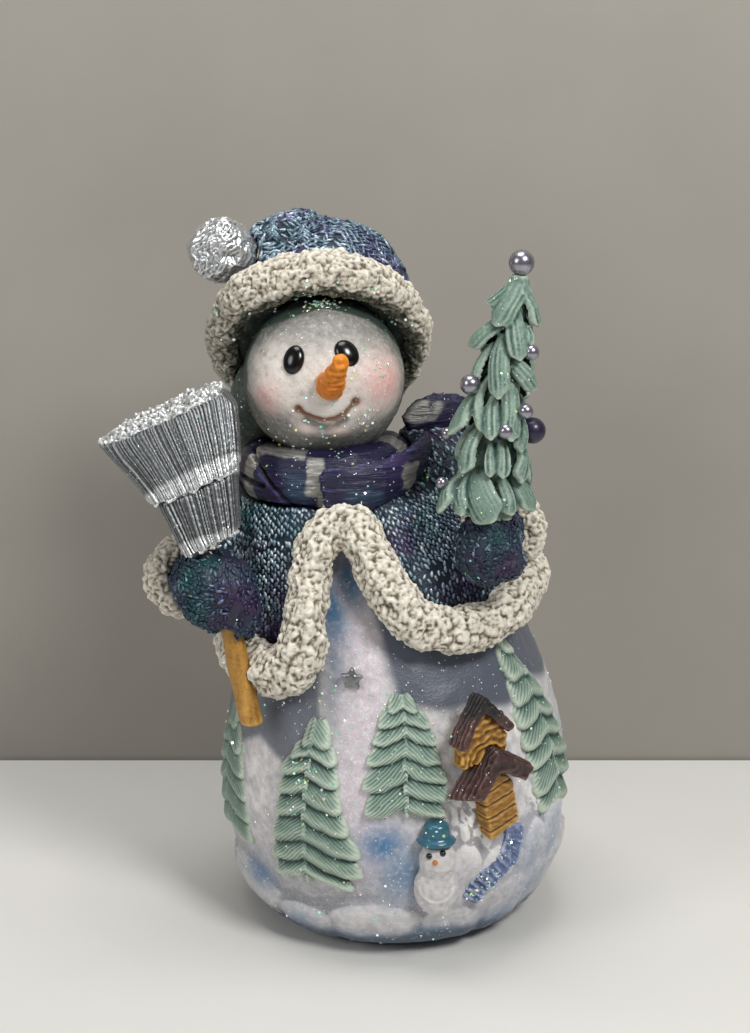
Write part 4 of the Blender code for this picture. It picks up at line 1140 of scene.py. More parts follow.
class KnittedCoat(bpy.types.Operator):
    """Models the coat with its folds, and knits it"""

    bl_idname = "snowman.coat"
    bl_label = "Knitted coat"

    def execute(self, context):
        coat = clay("coat", 0.55, 1.6, 0.2)
        points = points_of(coat.data)
        folds = 0.4 * rolling(points * [1, 1, 0.45], 7, 61) + 0.18 * rolling(points, 2.4, 62)
        raise_surface(coat, folds)
        write_zones(coat.data, points)
        finish(coat, "knit", knit_ground("Navy and purple acrylic"), "coat")
        knit(coat, COAT_BONES, "coat_stitches", stitch_paint(), "knit", 20, 71, bright=0.66)
        return {"FINISHED"}


class Mittens(bpy.types.Operator):
    """Models both mittens with a knitted palm"""

    bl_idname = "snowman.mittens"
    bl_label = "Mittens"

    def execute(self, context):
        ground = knit_ground("Navy and purple acrylic on the mittens")
        steel = stitch_paint()
        for name, bones, seed, plump in (
            ("left_mitten", LEFT_MITTEN_BONES, 81, 0.95),
            ("right_mitten", RIGHT_MITTEN_BONES, 82, 0.85),
        ):
            mitten = clay(name, 0.4, 0.8, 0.2)
            points = points_of(mitten.data)
            raise_surface(mitten, 0.45 * curls(swirled(points, 3, 1.2, seed), 3.2, seed + 2) - 0.3)
            write_zones(mitten.data, points)
            finish(mitten, "mitten", ground, name)
            look = {"wild": 30, "plump": plump, "long": 1.2, "bright": 0.1}
            knit(mitten, bones, name + "_stitches", steel, "mitten", 30, seed + 4, **look)
        return {"FINISHED"}


# Hat.
class Hat(bpy.types.Operator):
    """Models the knitted crown, the lining inside the brim and the silver pompom"""

    bl_idname = "snowman.hat"
    bl_label = "Hat and pompom"

    def execute(self, context):
        crown = clay("hat_crown", 0.42, 1.2, 0.1)
        points = points_of(crown.data)
        gathers = curls(swirled(points * [1, 1, 0.6], 5, 2.5, 50), 6.5, 51)
        raise_surface(crown, 0.7 * gathers - 0.4 + 0.3 * rolling(points, 1.6, 52))
        write_zones(crown.data, points)
        finish(crown, "knit", knit_ground("Navy and purple acrylic on the hat"), "hat_crown")
        look = {"wild": 14, "plump": 1.05, "long": 1.75, "bright": 0.52}
        knit(crown, HAT_BONES, "hat_stitches", stitch_paint(), "knit", 38, 53, **look)

        lining = clay("hat_lining", 0.5, 0.9, 0.3, [((-32.5, 4.0, 127.5), (8.5, 9.0, 15.0))])
        points = points_of(lining.data)
        raise_surface(lining, 0.3 * rolling(points, 3, 54) + 0.15 * rolling(points, 1.2, 55))
        note_relief(lining, 10)
        colours = paints()
        stops = [(0.0, linear("#131a17")), (0.5, colours.lining), (1.0, linear("#727a72"))]
        green = brushed("Dark green wash", stops, -0.25, 0.3, 0.2, rough=0.6, grain=0.4, glints=0.06)
        finish(lining, "lining", green, "hat_lining")

        pompom = clay("pompom", 0.22, 0.7, 0.0)
        points = points_of(pompom.data)
        middle = points.mean(axis=0)
        wandering = swirled(points, 4.0, 1.0, 56)
        turned = wandering @ np.array([[0.72, 0, 0.69], [0, 1, 0], [-0.69, 0, 0.72]])
        strokes = curls(turned * [1.0, 0.8, 0.45], 1.25, 57)
        fine = curls(turned * [1.0, 1.0, 0.6], 0.7, 58)
        hole = np.linalg.norm(points - (middle + [3.0, -8.0, -1.0]), axis=1)
        smooth = step_up(rolling(points, 4.5, 59), 0.2, 0.3)
        coarse = (0.34 * strokes + 0.15 * fine) * (1 - 0.6 * smooth) + 0.4 * rolling(points, 3.4, 60)
        raise_surface(pompom, coarse - 0.2 - 1.5 * bump(hole, 0, 1.7))
        note_relief(pompom, 10)
        stops = [(0.0, linear("#2b2d34")), (0.42, linear("#a3a6ac")), (1.0, linear("#f2f3f4"))]
        bright = brushed("Bright silver acrylic", stops, -0.20, 0.12, 0.06, rough=0.3, metal=0.8, grain=0.1)
        finish(pompom, "silver", bright, "pompom")
        return {"FINISHED"}


# Scarf.
SCARF_CENTRE = np.array([-16.5, -3.0, 115.5])
# Painted patches: colour, piece, degrees from the front towards +X, half width, height, half height
SCARF_PATCHES = [
    ("silver", "scarf_wrap", -60, 6.5, 117.8, 3.0),
    ("silver", "scarf_wrap", -62, 8, 110.8, 2.6),
    ("silver", "scarf_wrap", -38, 24, 122.0, 0.9),
    ("silver", "scarf_wrap", -6, 5.5, 116.8, 4.4),
    ("silver", "scarf_wrap", 1, 5.5, 111.2, 2.0),
    ("silver", "scarf_overlap", 52, 7, 116.5, 3.0),
    ("silver", "scarf_wrap", 70, 9, 121.8, 1.2),
    ("silver", "scarf_overlap", 16, 8, 121.5, 0.9),
    ("silver", "scarf_tail", 92, 10, 128, 2.5),
    ("silver", "scarf_wrap", 120, 8, 114, 6),
    ("silver", "scarf_wrap", 170, 8, 114, 6),
    ("silver", "scarf_wrap", -120, 8, 114, 6),
    ("blue", "scarf_wrap", -18, 10, 114.5, 3.2),
    ("blue", "scarf_overlap", 22, 10, 113.0, 1.6),
    ("blue", "scarf_wrap", -100, 10, 118, 4),
    ("blue", "scarf_wrap", 145, 12, 116, 4),
    ("plum", "scarf_wrap", -36, 9, 113, 4.0),
    ("plum", "scarf_overlap", 42, 8, 119, 3.0),
    ("plum", "scarf_tail", 100, 12, 124, 3),
]
# Creases of the wrap on the left, as degrees and heights
SCARF_CREASES = [[(-70, 122.2), (-47, 117.4), (-33, 113.4), (-22, 109.0)], [(-72, 114.4), (-44, 113.8)]]


class Scarf(bpy.types.Operator):
    """Models the wrapped scarf with its grain, silver stripes and airbrushed patches"""

    bl_idname = "snowman.scarf"
    bl_label = "Scarf"

    def execute(self, context):
        colours = paints()
        material, tree, shader, millimetres = new_paint("Striped indigo acrylic")
        share = ridge_share(tree, millimetres, -0.16, 0.20, 0.18)
        tone = mixed(tree, share, linear("#12102a"), colours.scarf)
        stripe = add(tree, "Attribute", attribute_name="silver").outputs["Fac"]
        silver = mixed(tree, share, linear("#6b6a6d"), colours.scarf_silver)
        high = add(tree, "MapRange", {"Value": share, "From Min": 0.75, "To Max": 0.7}).outputs["Result"]
        tone = mixed(tree, high, tone, linear("#585a92"))
        for name, shade in (("blue", linear("#3b5f78")), ("plum", linear("#47346a"))):
            mask = add(tree, "Attribute", attribute_name=name).outputs["Fac"]
            thin = add(tree, "Math", {0: mask, 1: 0.75}, operation="MULTIPLY").outputs[0]
            tone = mixed(tree, thin, tone, mixed(tree, share, linear("#15152e"), shade))
        tone = mixed(tree, stripe, tone, silver)
        tone = glinting(tree, millimetres, tone, shader, 0.02, 0.38)
        tree.links.new(tone, shader.inputs["Base Color"])
        metal = add(tree, "MapRange", {"Value": stripe, "To Min": 0.15, "To Max": 0.65}).outputs["Result"]
        tree.links.new(metal, shader.inputs["Metallic"])
        stretch = add(tree, "VectorMath", {0: millimetres, 1: (0.5, 0.5, 3.5)}, operation="MULTIPLY")
        grain = add(tree, "TexNoise", {"Vector": stretch.outputs[0], "Scale": 0.8, "Detail": 3.0})
        lift = add(tree, "Bump", {"Height": grain.outputs["Fac"], "Strength": 0.5, "Distance": 0.0008})
        tree.links.new(lift.outputs[0], shader.inputs["Normal"])
        for seed, name in enumerate(("scarf_wrap", "scarf_overlap", "scarf_tail")):
            obj = clay(name, 0.38, 0.9, 0.3)
            points = points_of(obj.data)
            away = points - SCARF_CENTRE
            degrees = np.degrees(np.arctan2(away[:, 0], -away[:, 1]))
            weave = rolling(points * [0.35, 0.35, 1.9], 1.6, 90 + seed)
            weave = weave + rolling(points * [0.4, 0.4, 3.2], 1.4, 93)
            folds = rolling(points * [0.6, 0.6, 1.3], 5, 95 + seed)
            crease = np.zeros(len(points))
            if name == "scarf_wrap":
                for line in SCARF_CREASES:
                    gap = line_gap(degrees * 0.35, points[:, 2], [(0.35 * a, z) for a, z in line])
                    crease = np.maximum(crease, bump(gap, 0, 0.65))
            raise_surface(obj, 0.17 * weave + 0.45 * folds - 1.3 * crease)
            note_relief(obj, 10)
            ragged = rolling(points, 1.8, 98)
            masks = {shade: np.zeros(len(points)) for shade in ("silver", "blue", "plum")}
            for shade, owner, angle, wide, height, tall in SCARF_PATCHES:
                if owner == name:
                    soft = 2 if shade == "silver" else 9
                    aside = np.abs((degrees - angle + 180) % 360 - 180)
                    across = step_up(wide - aside + 1.5 * ragged, 0, soft)
                    upright = tall - np.abs(points[:, 2] - height) + 0.5 * ragged
                    patch = across * step_up(upright, 0, 0.4 * soft)
                    masks[shade] = np.maximum(masks[shade], patch)
            for shade, mask in masks.items():
                write_mask(obj.data, shade, mask)
            finish(obj, "scarf", material, name)
        return {"FINISHED"}


# Broom. The middles of both ends of each bundle, and the handle's lower end.
HANDLE_END = [-34.5, -33.5, 62.0]
BROOM_LOWER = [(-42.3, -31.5, 104.0), (-46.0, -26.6, 116.6)]
BROOM_UPPER = [(-46.4, -26.4, 116.8), (-53.7, -19.0, 131.8)]


def bristled(name, line, widths, depths, slope, seed):
    """A bundle of bristles: ridges fan out along it and its ends are ragged."""
    obj = clay(name, 0.22, 0.5, 0.1)
    start, end = np.array(line, float)
    along = (end - start) / np.linalg.norm(end - start)
    right = np.array([math.cos(math.radians(slope)), 0, math.sin(math.radians(slope))])
    back = np.cross(along, right)
    points = points_of(obj.data)
    t = np.clip((points - start) @ along / np.linalg.norm(end - start), 0, 1)
    middle = start + (end - start) * t[:, None]
    across = (points - middle) @ right / (widths[0] + (widths[1] - widths[0]) * t)
    depth = (points - middle) @ back / (depths[0] + (depths[1] - depths[0]) * t)
    angle = np.arctan2(depth, across)
    count = round(2 * math.pi * widths[1] * 0.8 / sizes().bristle)
    wander = 0.9 * rolling(points * [1, 1, 0.4], 9, seed) + 0.6 * rolling(points * [1, 1, 0.3], 3, seed + 1)
    wave = np.cos(count * angle + 2.4 * wander)
    strands = np.stack([count * angle / 2.2 + wander, 0.35 * t + 0 * angle, 0 * angle], axis=1)
    uneven = rolling(strands, 1.0, seed + 2)
    normals = normals_of(obj.data)
    ends = np.abs(normals @ along) > 0.6
    rim = step_up(t, 0.94, 0.1)
    ragged = 0.9 * rolling(points, 1.3, seed + 3) + 0.6 * rolling(points, 0.7, seed + 4)
    sides = 0.11 * wave + 0.26 * uneven + 0.06 * rolling(points, 0.8, seed + 5) + 0.3 * rim
    raise_surface(obj, np.where(ends, ragged, sides))
    note_relief(obj, 8)
    # Ends and joint to be painted bright: rubbed silver with a painted highlight.
    write_mask(obj.data, "worn", np.maximum(np.maximum(rim, ends), 1 - step_up(t, 0.05, 0.08)))
    return obj


def pewter_paint():
    """Silver acrylic over the bristles: dull between them, and rubbed bright on the ragged ends and the
    joint, where a painted highlight lies too.
    """
    colours = paints()
    material, tree, shader, millimetres = new_paint("Brushed pewter acrylic")
    share = ridge_share(tree, millimetres, -0.15, 0.16, 0.12)
    stops = [(0.0, linear("#232527")), (0.45, linear("#55585b")), (1.0, colours.silver)]
    tone = add(tree, "ValToRGB", {"Fac": share}, stops).outputs["Color"]
    worn = add(tree, "Attribute", attribute_name="worn").outputs["Fac"]
    # Near white on their ridges: rubbed silver and a painted highlight.
    bright = add(tree, "Math", {0: worn, 1: share}, operation="MULTIPLY").outputs[0]
    tone = mixed(tree, bright, tone, linear("#e9ebec"))
    tone = glinting(tree, millimetres, tone, shader, 0.012, 0.38)
    tree.links.new(tone, shader.inputs["Base Color"])
    shader.inputs["Metallic"].default_value = 0.6
    return material


class Broom(bpy.types.Operator):
    """Models the ridged silver bristles and the ochre handle"""

    bl_idname = "snowman.broom"
    bl_label = "Broom"

    def execute(self, context):
        silver = pewter_paint()
        lower = bristled("broom_lower_bristles", BROOM_LOWER, (7.3, 10.3), (4.6, 5.8), 26, 110)
        finish(lower, "silver", silver, "broom_lower_bristles")
        upper = bristled("broom_upper_bristles", BROOM_UPPER, (11.5, 17.6), (6.8, 7.6), 23, 120)
        finish(upper, "silver", silver, "broom_upper_bristles")
        handle = clay("broom_handle", 0.35, 0.5, 0.1)
        points = points_of(handle.data)
        axis = np.array(BROOM_LOWER[0]) - HANDLE_END
        longer = 2.2 * np.clip((84 - points[:, 2]) / 20, 0, 1)
        points = points - longer[:, None] * axis / np.linalg.norm(axis)
        place_points(handle.data, points)
        streaks = 0.25 * rolling(points * [1, 1, 0.2], 1.6, 130) + 0.1 * rolling(points, 3, 131)
        raise_surface(handle, 0.25 + streaks)
        note_relief(handle, 10)
        finish(handle, "ochre", ochre_paint("Ochre wood acrylic"), "broom_handle")
        return {"FINISHED"}


def ochre_paint(name):
    """Ochre acrylic with a brown wash, as on carved wood."""
    colours = paints()
    stops = [(0.0, colours.ochre_wash), (0.5, colours.ochre), (1.0, linear("#cf9f4c"))]
    return brushed(name, stops, -0.14, 0.14, 0.12, rough=0.5, grain=0.2)


# Held tree: the trunk's ends, and how far the leaf tips reach from it at each height
TREE_FOOT = np.array([20.0, -34.0, 110.5])
TREE_TIP = np.array([27.4, -30.0, 164.2])
TREE_REACH = [
    (108, 10.2), (120, 10.0), (130, 9.6), (136, 8.6), (142, 7.6), (149, 7.0), (158, 5.0), (164, 2.2),
]
# Leaves of the front: degrees round the trunk and height of the root, the same of the tip, width in
# millimetres, and how far the tip reaches
FRONT_LEAVES = [
    (-80, 163.6, -98, 158.4, 6.0, 1.4),
    (50, 163.8, 84, 153.6, 5.2, 1.05),
    (-12, 164.6, -47, 154.1, 7.2, 1.0),
    (53, 154.4, 40, 149.8, 3.2, 1.0),
    (-62, 155.6, -95, 149.2, 6.4, 1.32),
    (0, 157.0, 17, 146.8, 6.0, 1.0),
    (-96, 150.0, -83, 140.3, 5.2, 1.0),
    (10, 147.0, 64, 140.0, 5.6, 1.0),
    (-37, 152.0, -11, 138.8, 6.0, 1.02),
    (-92, 142.0, -70, 130.1, 8.4, 1.22),
    (18, 141.6, 17, 129.5, 6.0, 1.0),
    (-75, 142.5, -31, 131.5, 3.0, 0.95),
    (-28, 138.6, -12, 129.6, 4.4, 0.98),
    (50, 135.5, 40, 126.5, 4.6, 0.9),
    (-52, 133.0, -44, 122.0, 5.6, 1.0),
    (12, 129.0, 12, 121.2, 4.0, 1.0),
    (-14, 128.0, -5, 121.3, 3.0, 0.95),
    (61, 129.8, 43, 119.8, 5.0, 1.0),
    (80, 127.0, 92, 117.0, 5.4, 0.95),
    (-94, 121.0, -62, 113.0, 7.6, 1.2),
    (61, 121.0, 70, 112.6, 8.6, 1.15),
    (26, 120.5, 34, 112.5, 5.0, 0.98),
    (-40, 122.0, 4, 111.8, 9.6, 1.1),
    (-70, 120.5, -36, 112.6, 5.2, 1.0),
]


def round_trunk(degrees, height, share):
    """A place round the trunk, at a share of the leaves' reach there, and the way out from it."""
    heights, reaches = zip(*TREE_REACH)
    angle = math.radians(degrees)
    out = Vector((math.sin(angle), -math.cos(angle), 0))
    middle = Vector(TREE_FOOT).lerp(Vector(TREE_TIP), (height - TREE_FOOT[2]) / (TREE_TIP[2] - TREE_FOOT[2]))
    return middle + out * share * float(np.interp(height, heights, reaches)), out


def drooping_leaf(root, tip, width, reach, random):
    """A thick tongue that arches from its root down to a blunt tip, with uneven grooves along it."""
    leaf = bmesh.new()
    bmesh.ops.create_grid(leaf, x_segments=18, y_segments=20, size=1)
    grooves = max(round(width / sizes().leaf_groove), 3)
    fray, skew = random.uniform(-0.3, 0.3, 3), random.uniform(-0.12, 0.12)
    spine = []
    for step in range(52):
        t = step / 50
        share = 0.58 + (reach - 0.58) * t + 0.16 * math.sin(math.pi * min(t, 1))
        spine.append(round_trunk(root[0] + (tip[0] - root[0]) * t, root[1] + (tip[1] - root[1]) * t, share))
    for vert in leaf.verts:
        s, t = vert.co.x, (vert.co.y + 1) / 2
        t *= 1 + 0.05 * t * math.cos(math.pi * s * grooves + 9 * fray[1])
        step = min(int(t * 50), 50)
        (spot, out), (after, _) = spine[step], spine[step + 1]
        side = (after - spot).cross(out).normalized()
        proud = side.cross(after - spot).normalized()
        spot = spot.lerp(after, t * 50 - step)
        blunt = math.sqrt(max(1 - max((t - 0.66) / 0.34, 0) ** (2.4 + fray[0]), 0.02))
        half = width / 2 * (0.52 + 0.55 * t) * blunt * (1 + 0.10 * math.sin(7 * t + 9 * skew))
        comb = math.cos(math.pi * s * grooves + 1.5 * math.sin(3 * s + 9 * fray[1]))
        curl = 0.5 * max(t - 0.7, 0) * (1 + s * fray[2])
        rise = 0.30 * comb * min(t * 4, 1) * blunt - 0.40 * half * s * s + curl
        vert.co = (spot + side * (s + skew * t) * half + proud * rise) * MM
    back = bmesh.ops.extrude_face_region(leaf, geom=leaf.faces[:])["geom"]
    behind = [part for part in back if isinstance(part, bmesh.types.BMVert)]
    bmesh.ops.translate(leaf, verts=behind, vec=spine[25][1] * -1.3 * MM)
    bmesh.ops.recalc_face_normals(leaf, faces=leaf.faces)
    return leaf


def leafy_tree():
    """All leaves and the trunk as one casting, the front ones placed singly and the rest in tiers."""
    random = np.random.default_rng(140)
    leaves = [((a, b), (c, d), width, reach) for a, b, c, d, width, reach in FRONT_LEAVES]
    for tier, height in enumerate(np.arange(155.0, 110, -6.6)):
        for degrees in np.arange(118 + 24 * (tier % 2), 250, 48):
            aside, lower = random.uniform(-7, 7), random.uniform(-1.2, 1.2)
            root = (degrees + aside, height + 9.5)
            leaves.append((root, (degrees - aside, height + lower), random.uniform(6.0, 8.0), 0.92))
    pieces = bmesh.new()
    for shape in leaves:
        leaf = drooping_leaf(*shape, random)
        mesh = bpy.data.meshes.new("leaf")
        leaf.to_mesh(mesh)
        leaf.free()
        pieces.from_mesh(mesh)
        bpy.data.meshes.remove(mesh)
    trunk = Vector(TREE_TIP - TREE_FOOT)
    core = bmesh.ops.create_cone(
        pieces, cap_ends=True, segments=24, radius1=6.6 * MM, radius2=1.6 * MM, depth=trunk.length * MM
    )["verts"]
    turn = trunk.to_track_quat("Z", "Y").to_matrix().to_4x4()
    place = Matrix.Translation(Vector((TREE_FOOT + TREE_TIP) / 2 * MM)) @ turn
    bmesh.ops.transform(pieces, matrix=place, verts=core)
    tree = object_of("held_tree", pieces)
    cast = tree.modifiers.new("cast", "REMESH")
    cast.mode = "VOXEL"
    cast.voxel_size = 0.34 * MM
    apply_modifiers(tree)
    place_points(tree.data, rubbed(points_of(tree.data), edges_of(tree.data), 1))
    return tree


class HeldTree(bpy.types.Operator):
    """Models the held tree leaf by leaf, with its beads and bauble"""

    bl_idname = "snowman.held_tree"
    bl_label = "Held tree"

    def execute(self, context):
        tree = leafy_tree()
        note_relief(tree, 14)
        finish(tree, "leaf", leaf_paint("Frosted sage acrylic", -0.18, 0.26), "held_tree")
        colours = paints()
        pearl = enamel("Silver-lilac pearl enamel", colours.bead, 0.26, metal=0.9)
        purple = enamel("Dark purple enamel", colours.bauble, 0.4, metal=0.2)
        for node in frame["nodes"]:
            if "bead" not in node and node != "purple_bauble":
                continue
            low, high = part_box(node)
            bm = bmesh.new()
            bmesh.ops.create_uvsphere(bm, u_segments=28, v_segments=18, radius=(high.z - low.z) / 2)
            bmesh.ops.translate(bm, verts=bm.verts, vec=(low + high) / 2)
            ball = object_of(node + "_ball", bm)
            bauble = node == "purple_bauble"
            finish(ball, "bauble" if bauble else "bead", purple if bauble else pearl, node)
        return {"FINISHED"}


# Relief trees: the stem from the apex down, then the tips of the fronds on each side. Places are degrees
# round the body from its front, and heights in millimetres.
WINTER_TREES = [
    (
        "winter_tree_left",
        [(-26.6, 61.5), (-28.0, 46.0), (-28.5, 20.0)],
        [
            (-31.0, 56.2), (-35.2, 52.6), (-38.8, 48.4), (-39.4, 43.6),
            (-40.4, 38.2), (-41.4, 31.8), (-42.6, 26.2), (-42.0, 21.6),
        ],
        [
            (-20.8, 56.4), (-18.4, 52.4), (-17.4, 47.4), (-16.2, 41.6),
            (-14.1, 35.9), (-10.6, 30.2), (-10.0, 24.8), (-13.0, 21.0),
        ],
    ),
    (
        "winter_tree_middle",
        [(3.6, 68.4), (3.8, 60.0), (2.8, 54.0), (3.4, 40.0)],
        [(-1.6, 65.4), (-5.2, 61.8), (-7.2, 58.0), (-9.1, 53.4), (-10.2, 47.8), (-9.4, 42.0)],
        [(8.6, 65.2), (12.2, 61.6), (14.0, 57.8), (14.8, 53.2), (16.4, 48.9), (17.2, 44.4), (15.6, 40.6)],
    ),
    (
        "winter_tree_right",
        [(50.5, 78.5), (53.5, 70.0), (58.0, 56.0), (61.0, 46.0), (63.0, 33.0)],
        [
            (49.4, 74.6), (47.0, 68.4), (46.0, 62.6), (45.2, 57.2),
            (46.0, 51.6), (47.4, 46.6), (49.0, 39.8), (52.0, 34.5),
        ],
        [
            (55.6, 74.2), (59.0, 68.6), (65.0, 62.6), (69.0, 56.8),
            (72.0, 51.4), (75.6, 45.2), (79.0, 39.4), (75.6, 33.4),
        ],
    ),
    (
        "winter_tree_far_left",
        [(-70.5, 57.0), (-69.0, 43.0), (-67.0, 25.0)],
        [(-75.0, 52.5), (-78.5, 47.5), (-80.5, 42.5), (-81.5, 37.0), (-82.0, 31.0), (-81.0, 25.5)],
        [(-66.0, 52.5), (-61.0, 47.5), (-57.5, 42.0), (-55.0, 36.8), (-53.5, 31.4), (-53.2, 26.0)],
    ),
]
MM_A_DEGREE = 0.77


def fronded(degrees, height, stem, left, right, seed):
    """Height over the snow of a fir in low relief: drooping fronds, each lapping over the next one down."""
    stem_down = sorted(stem, key=lambda place: place[1])
    middle = np.interp(height, [z for _, z in stem_down], [angle for angle, _ in stem_down])
    across = (degrees - middle) * MM_A_DEGREE
    lift = np.full(len(height), -0.8)
    flat = np.stack([across, height, 0 * height], axis=1)
    for tips, way in ((left, -1), (right, 1)):
        above_it = stem[0][1]
        for order, (angle, low) in enumerate(tips):
            root = np.interp(low, [z for _, z in stem_down], [a for a, _ in stem_down])
            reach = abs(angle - root) * MM_A_DEGREE
            spacing = np.clip(above_it - low, 3.2, 6.4)
            above_it = low
            out = np.where(across * way >= -0.6, np.abs(across) / reach, 9)
            full = np.clip(1 - out**3, 0, 1)
            spine = low + 0.34 * reach * np.clip(1 - out, 0, 1) ** 1.25
            over = height - spine + 0.35 * rolling(flat, 2.5, seed + order)
            upper, lower = 1.05 * spacing * np.sqrt(full), 0.50 * spacing * np.sqrt(full) + 0.01
            rising = np.clip(1 - 0.72 * over / np.maximum(upper, 0.01), 0.05, 1)
            rounded = np.sqrt(np.clip(1 - (over / lower) ** 2, 0, 1))
            inside = (out < 1) & (over < upper) & (over > -lower)
            frond = (1.0 + 1.5 * np.sqrt(full)) * np.where(over > 0, rising, rounded)
            comb = np.cos(2 * math.pi * (over + 0.55 * np.abs(across)) / sizes().frond_groove)
            frond += 0.13 * comb * np.clip(2 * frond, 0, 1)
            lift = np.where(inside, np.maximum(lift, frond), lift)
    trunk = np.abs(across) < 0.75
    crown = (height < stem[0][1]) & (height > stem[-1][1] + 1) & trunk
    ridge = 1.9 * np.sqrt(np.clip(1 - (across / 0.75) ** 2, 0, 1))
    ridge = ridge * np.clip((stem[0][1] - height) / 2, 0, 1) ** 0.5
    return np.where(crown, np.maximum(lift, ridge), lift)


class WinterTrees(bpy.types.Operator):
    """Models the firs in low relief, with combed drooping fronds"""

    bl_idname = "snowman.winter_trees"
    bl_label = "Relief trees"

    def execute(self, context):
        sage = leaf_paint("Frosted sage acrylic on the relief", -0.30, 0.28)
        for seed, (name, stem, left, right) in enumerate(WINTER_TREES):
            places = np.array(stem + left + right)
            (west, low), (east, high) = places.min(axis=0) - (1.5, 3.5), places.max(axis=0) + (1.5, 0.5)
            bm = bmesh.new()
            bmesh.ops.create_grid(bm, x_segments=110, y_segments=170, size=1)
            unit = np.array([vert.co for vert in bm.verts])
            degrees = west + (east - west) * (unit[:, 0] + 1) / 2
            height = low + (high - low) * (unit[:, 1] + 1) / 2
            lift = fronded(degrees, height, stem, left, right, 200 + 20 * seed)
            if name == "winter_tree_far_left":
                lift = np.where(lift > 0, 0.6 * lift, lift)
            hidden = [face for face in bm.faces if all(lift[vert.index] < -0.7 for vert in face.verts)]
            for vert, spot in zip(bm.verts, on_body(degrees, height, lift)):
                vert.co = spot * MM
            bmesh.ops.delete(bm, geom=hidden, context="FACES")
            bmesh.ops.delete(bm, geom=[vert for vert in bm.verts if not vert.link_faces], context="VERTS")
            obj = object_of(name, bm)
            if np.mean(np.einsum("ij,ij->i", normals_of(obj.data), points_of(obj.data) * [1, 1, 0])) < 0:
                obj.data.flip_normals()
            # The broad relief makes the gap under each frond's lip dark: a painted shadow under the fronds.
            note_relief(obj, 40)
            thick = obj.modifiers.new("back", "SOLIDIFY")
            thick.thickness = 0.9 * MM
            thick.offset = -1
            apply_modifiers(obj)
            finish(obj, "leaf", sage, name)
        return {"FINISHED"}


# Cottage: its angle round the body, the way out from it and the way right along its front
COTTAGE_ANGLE = math.radians(33)
COTTAGE_AWAY = np.array([math.sin(COTTAGE_ANGLE), -math.cos(COTTAGE_ANGLE), 0])
COTTAGE_RIGHT = np.array([math.cos(COTTAGE_ANGLE), math.sin(COTTAGE_ANGLE), 0])
# Steps of the garden path: degrees and height of each
STEPS_DOWN = [
    (39.8, 33.0), (39.6, 31.9), (39.2, 30.7), (38.4, 29.5), (37.2, 28.5), (35.7, 27.4), (33.9, 26.4),
    (32.1, 25.3), (30.8, 24.2), (29.4, 23.1), (28.1, 21.9), (26.8, 20.5), (25.6, 19.2), (24.9, 17.8),
]


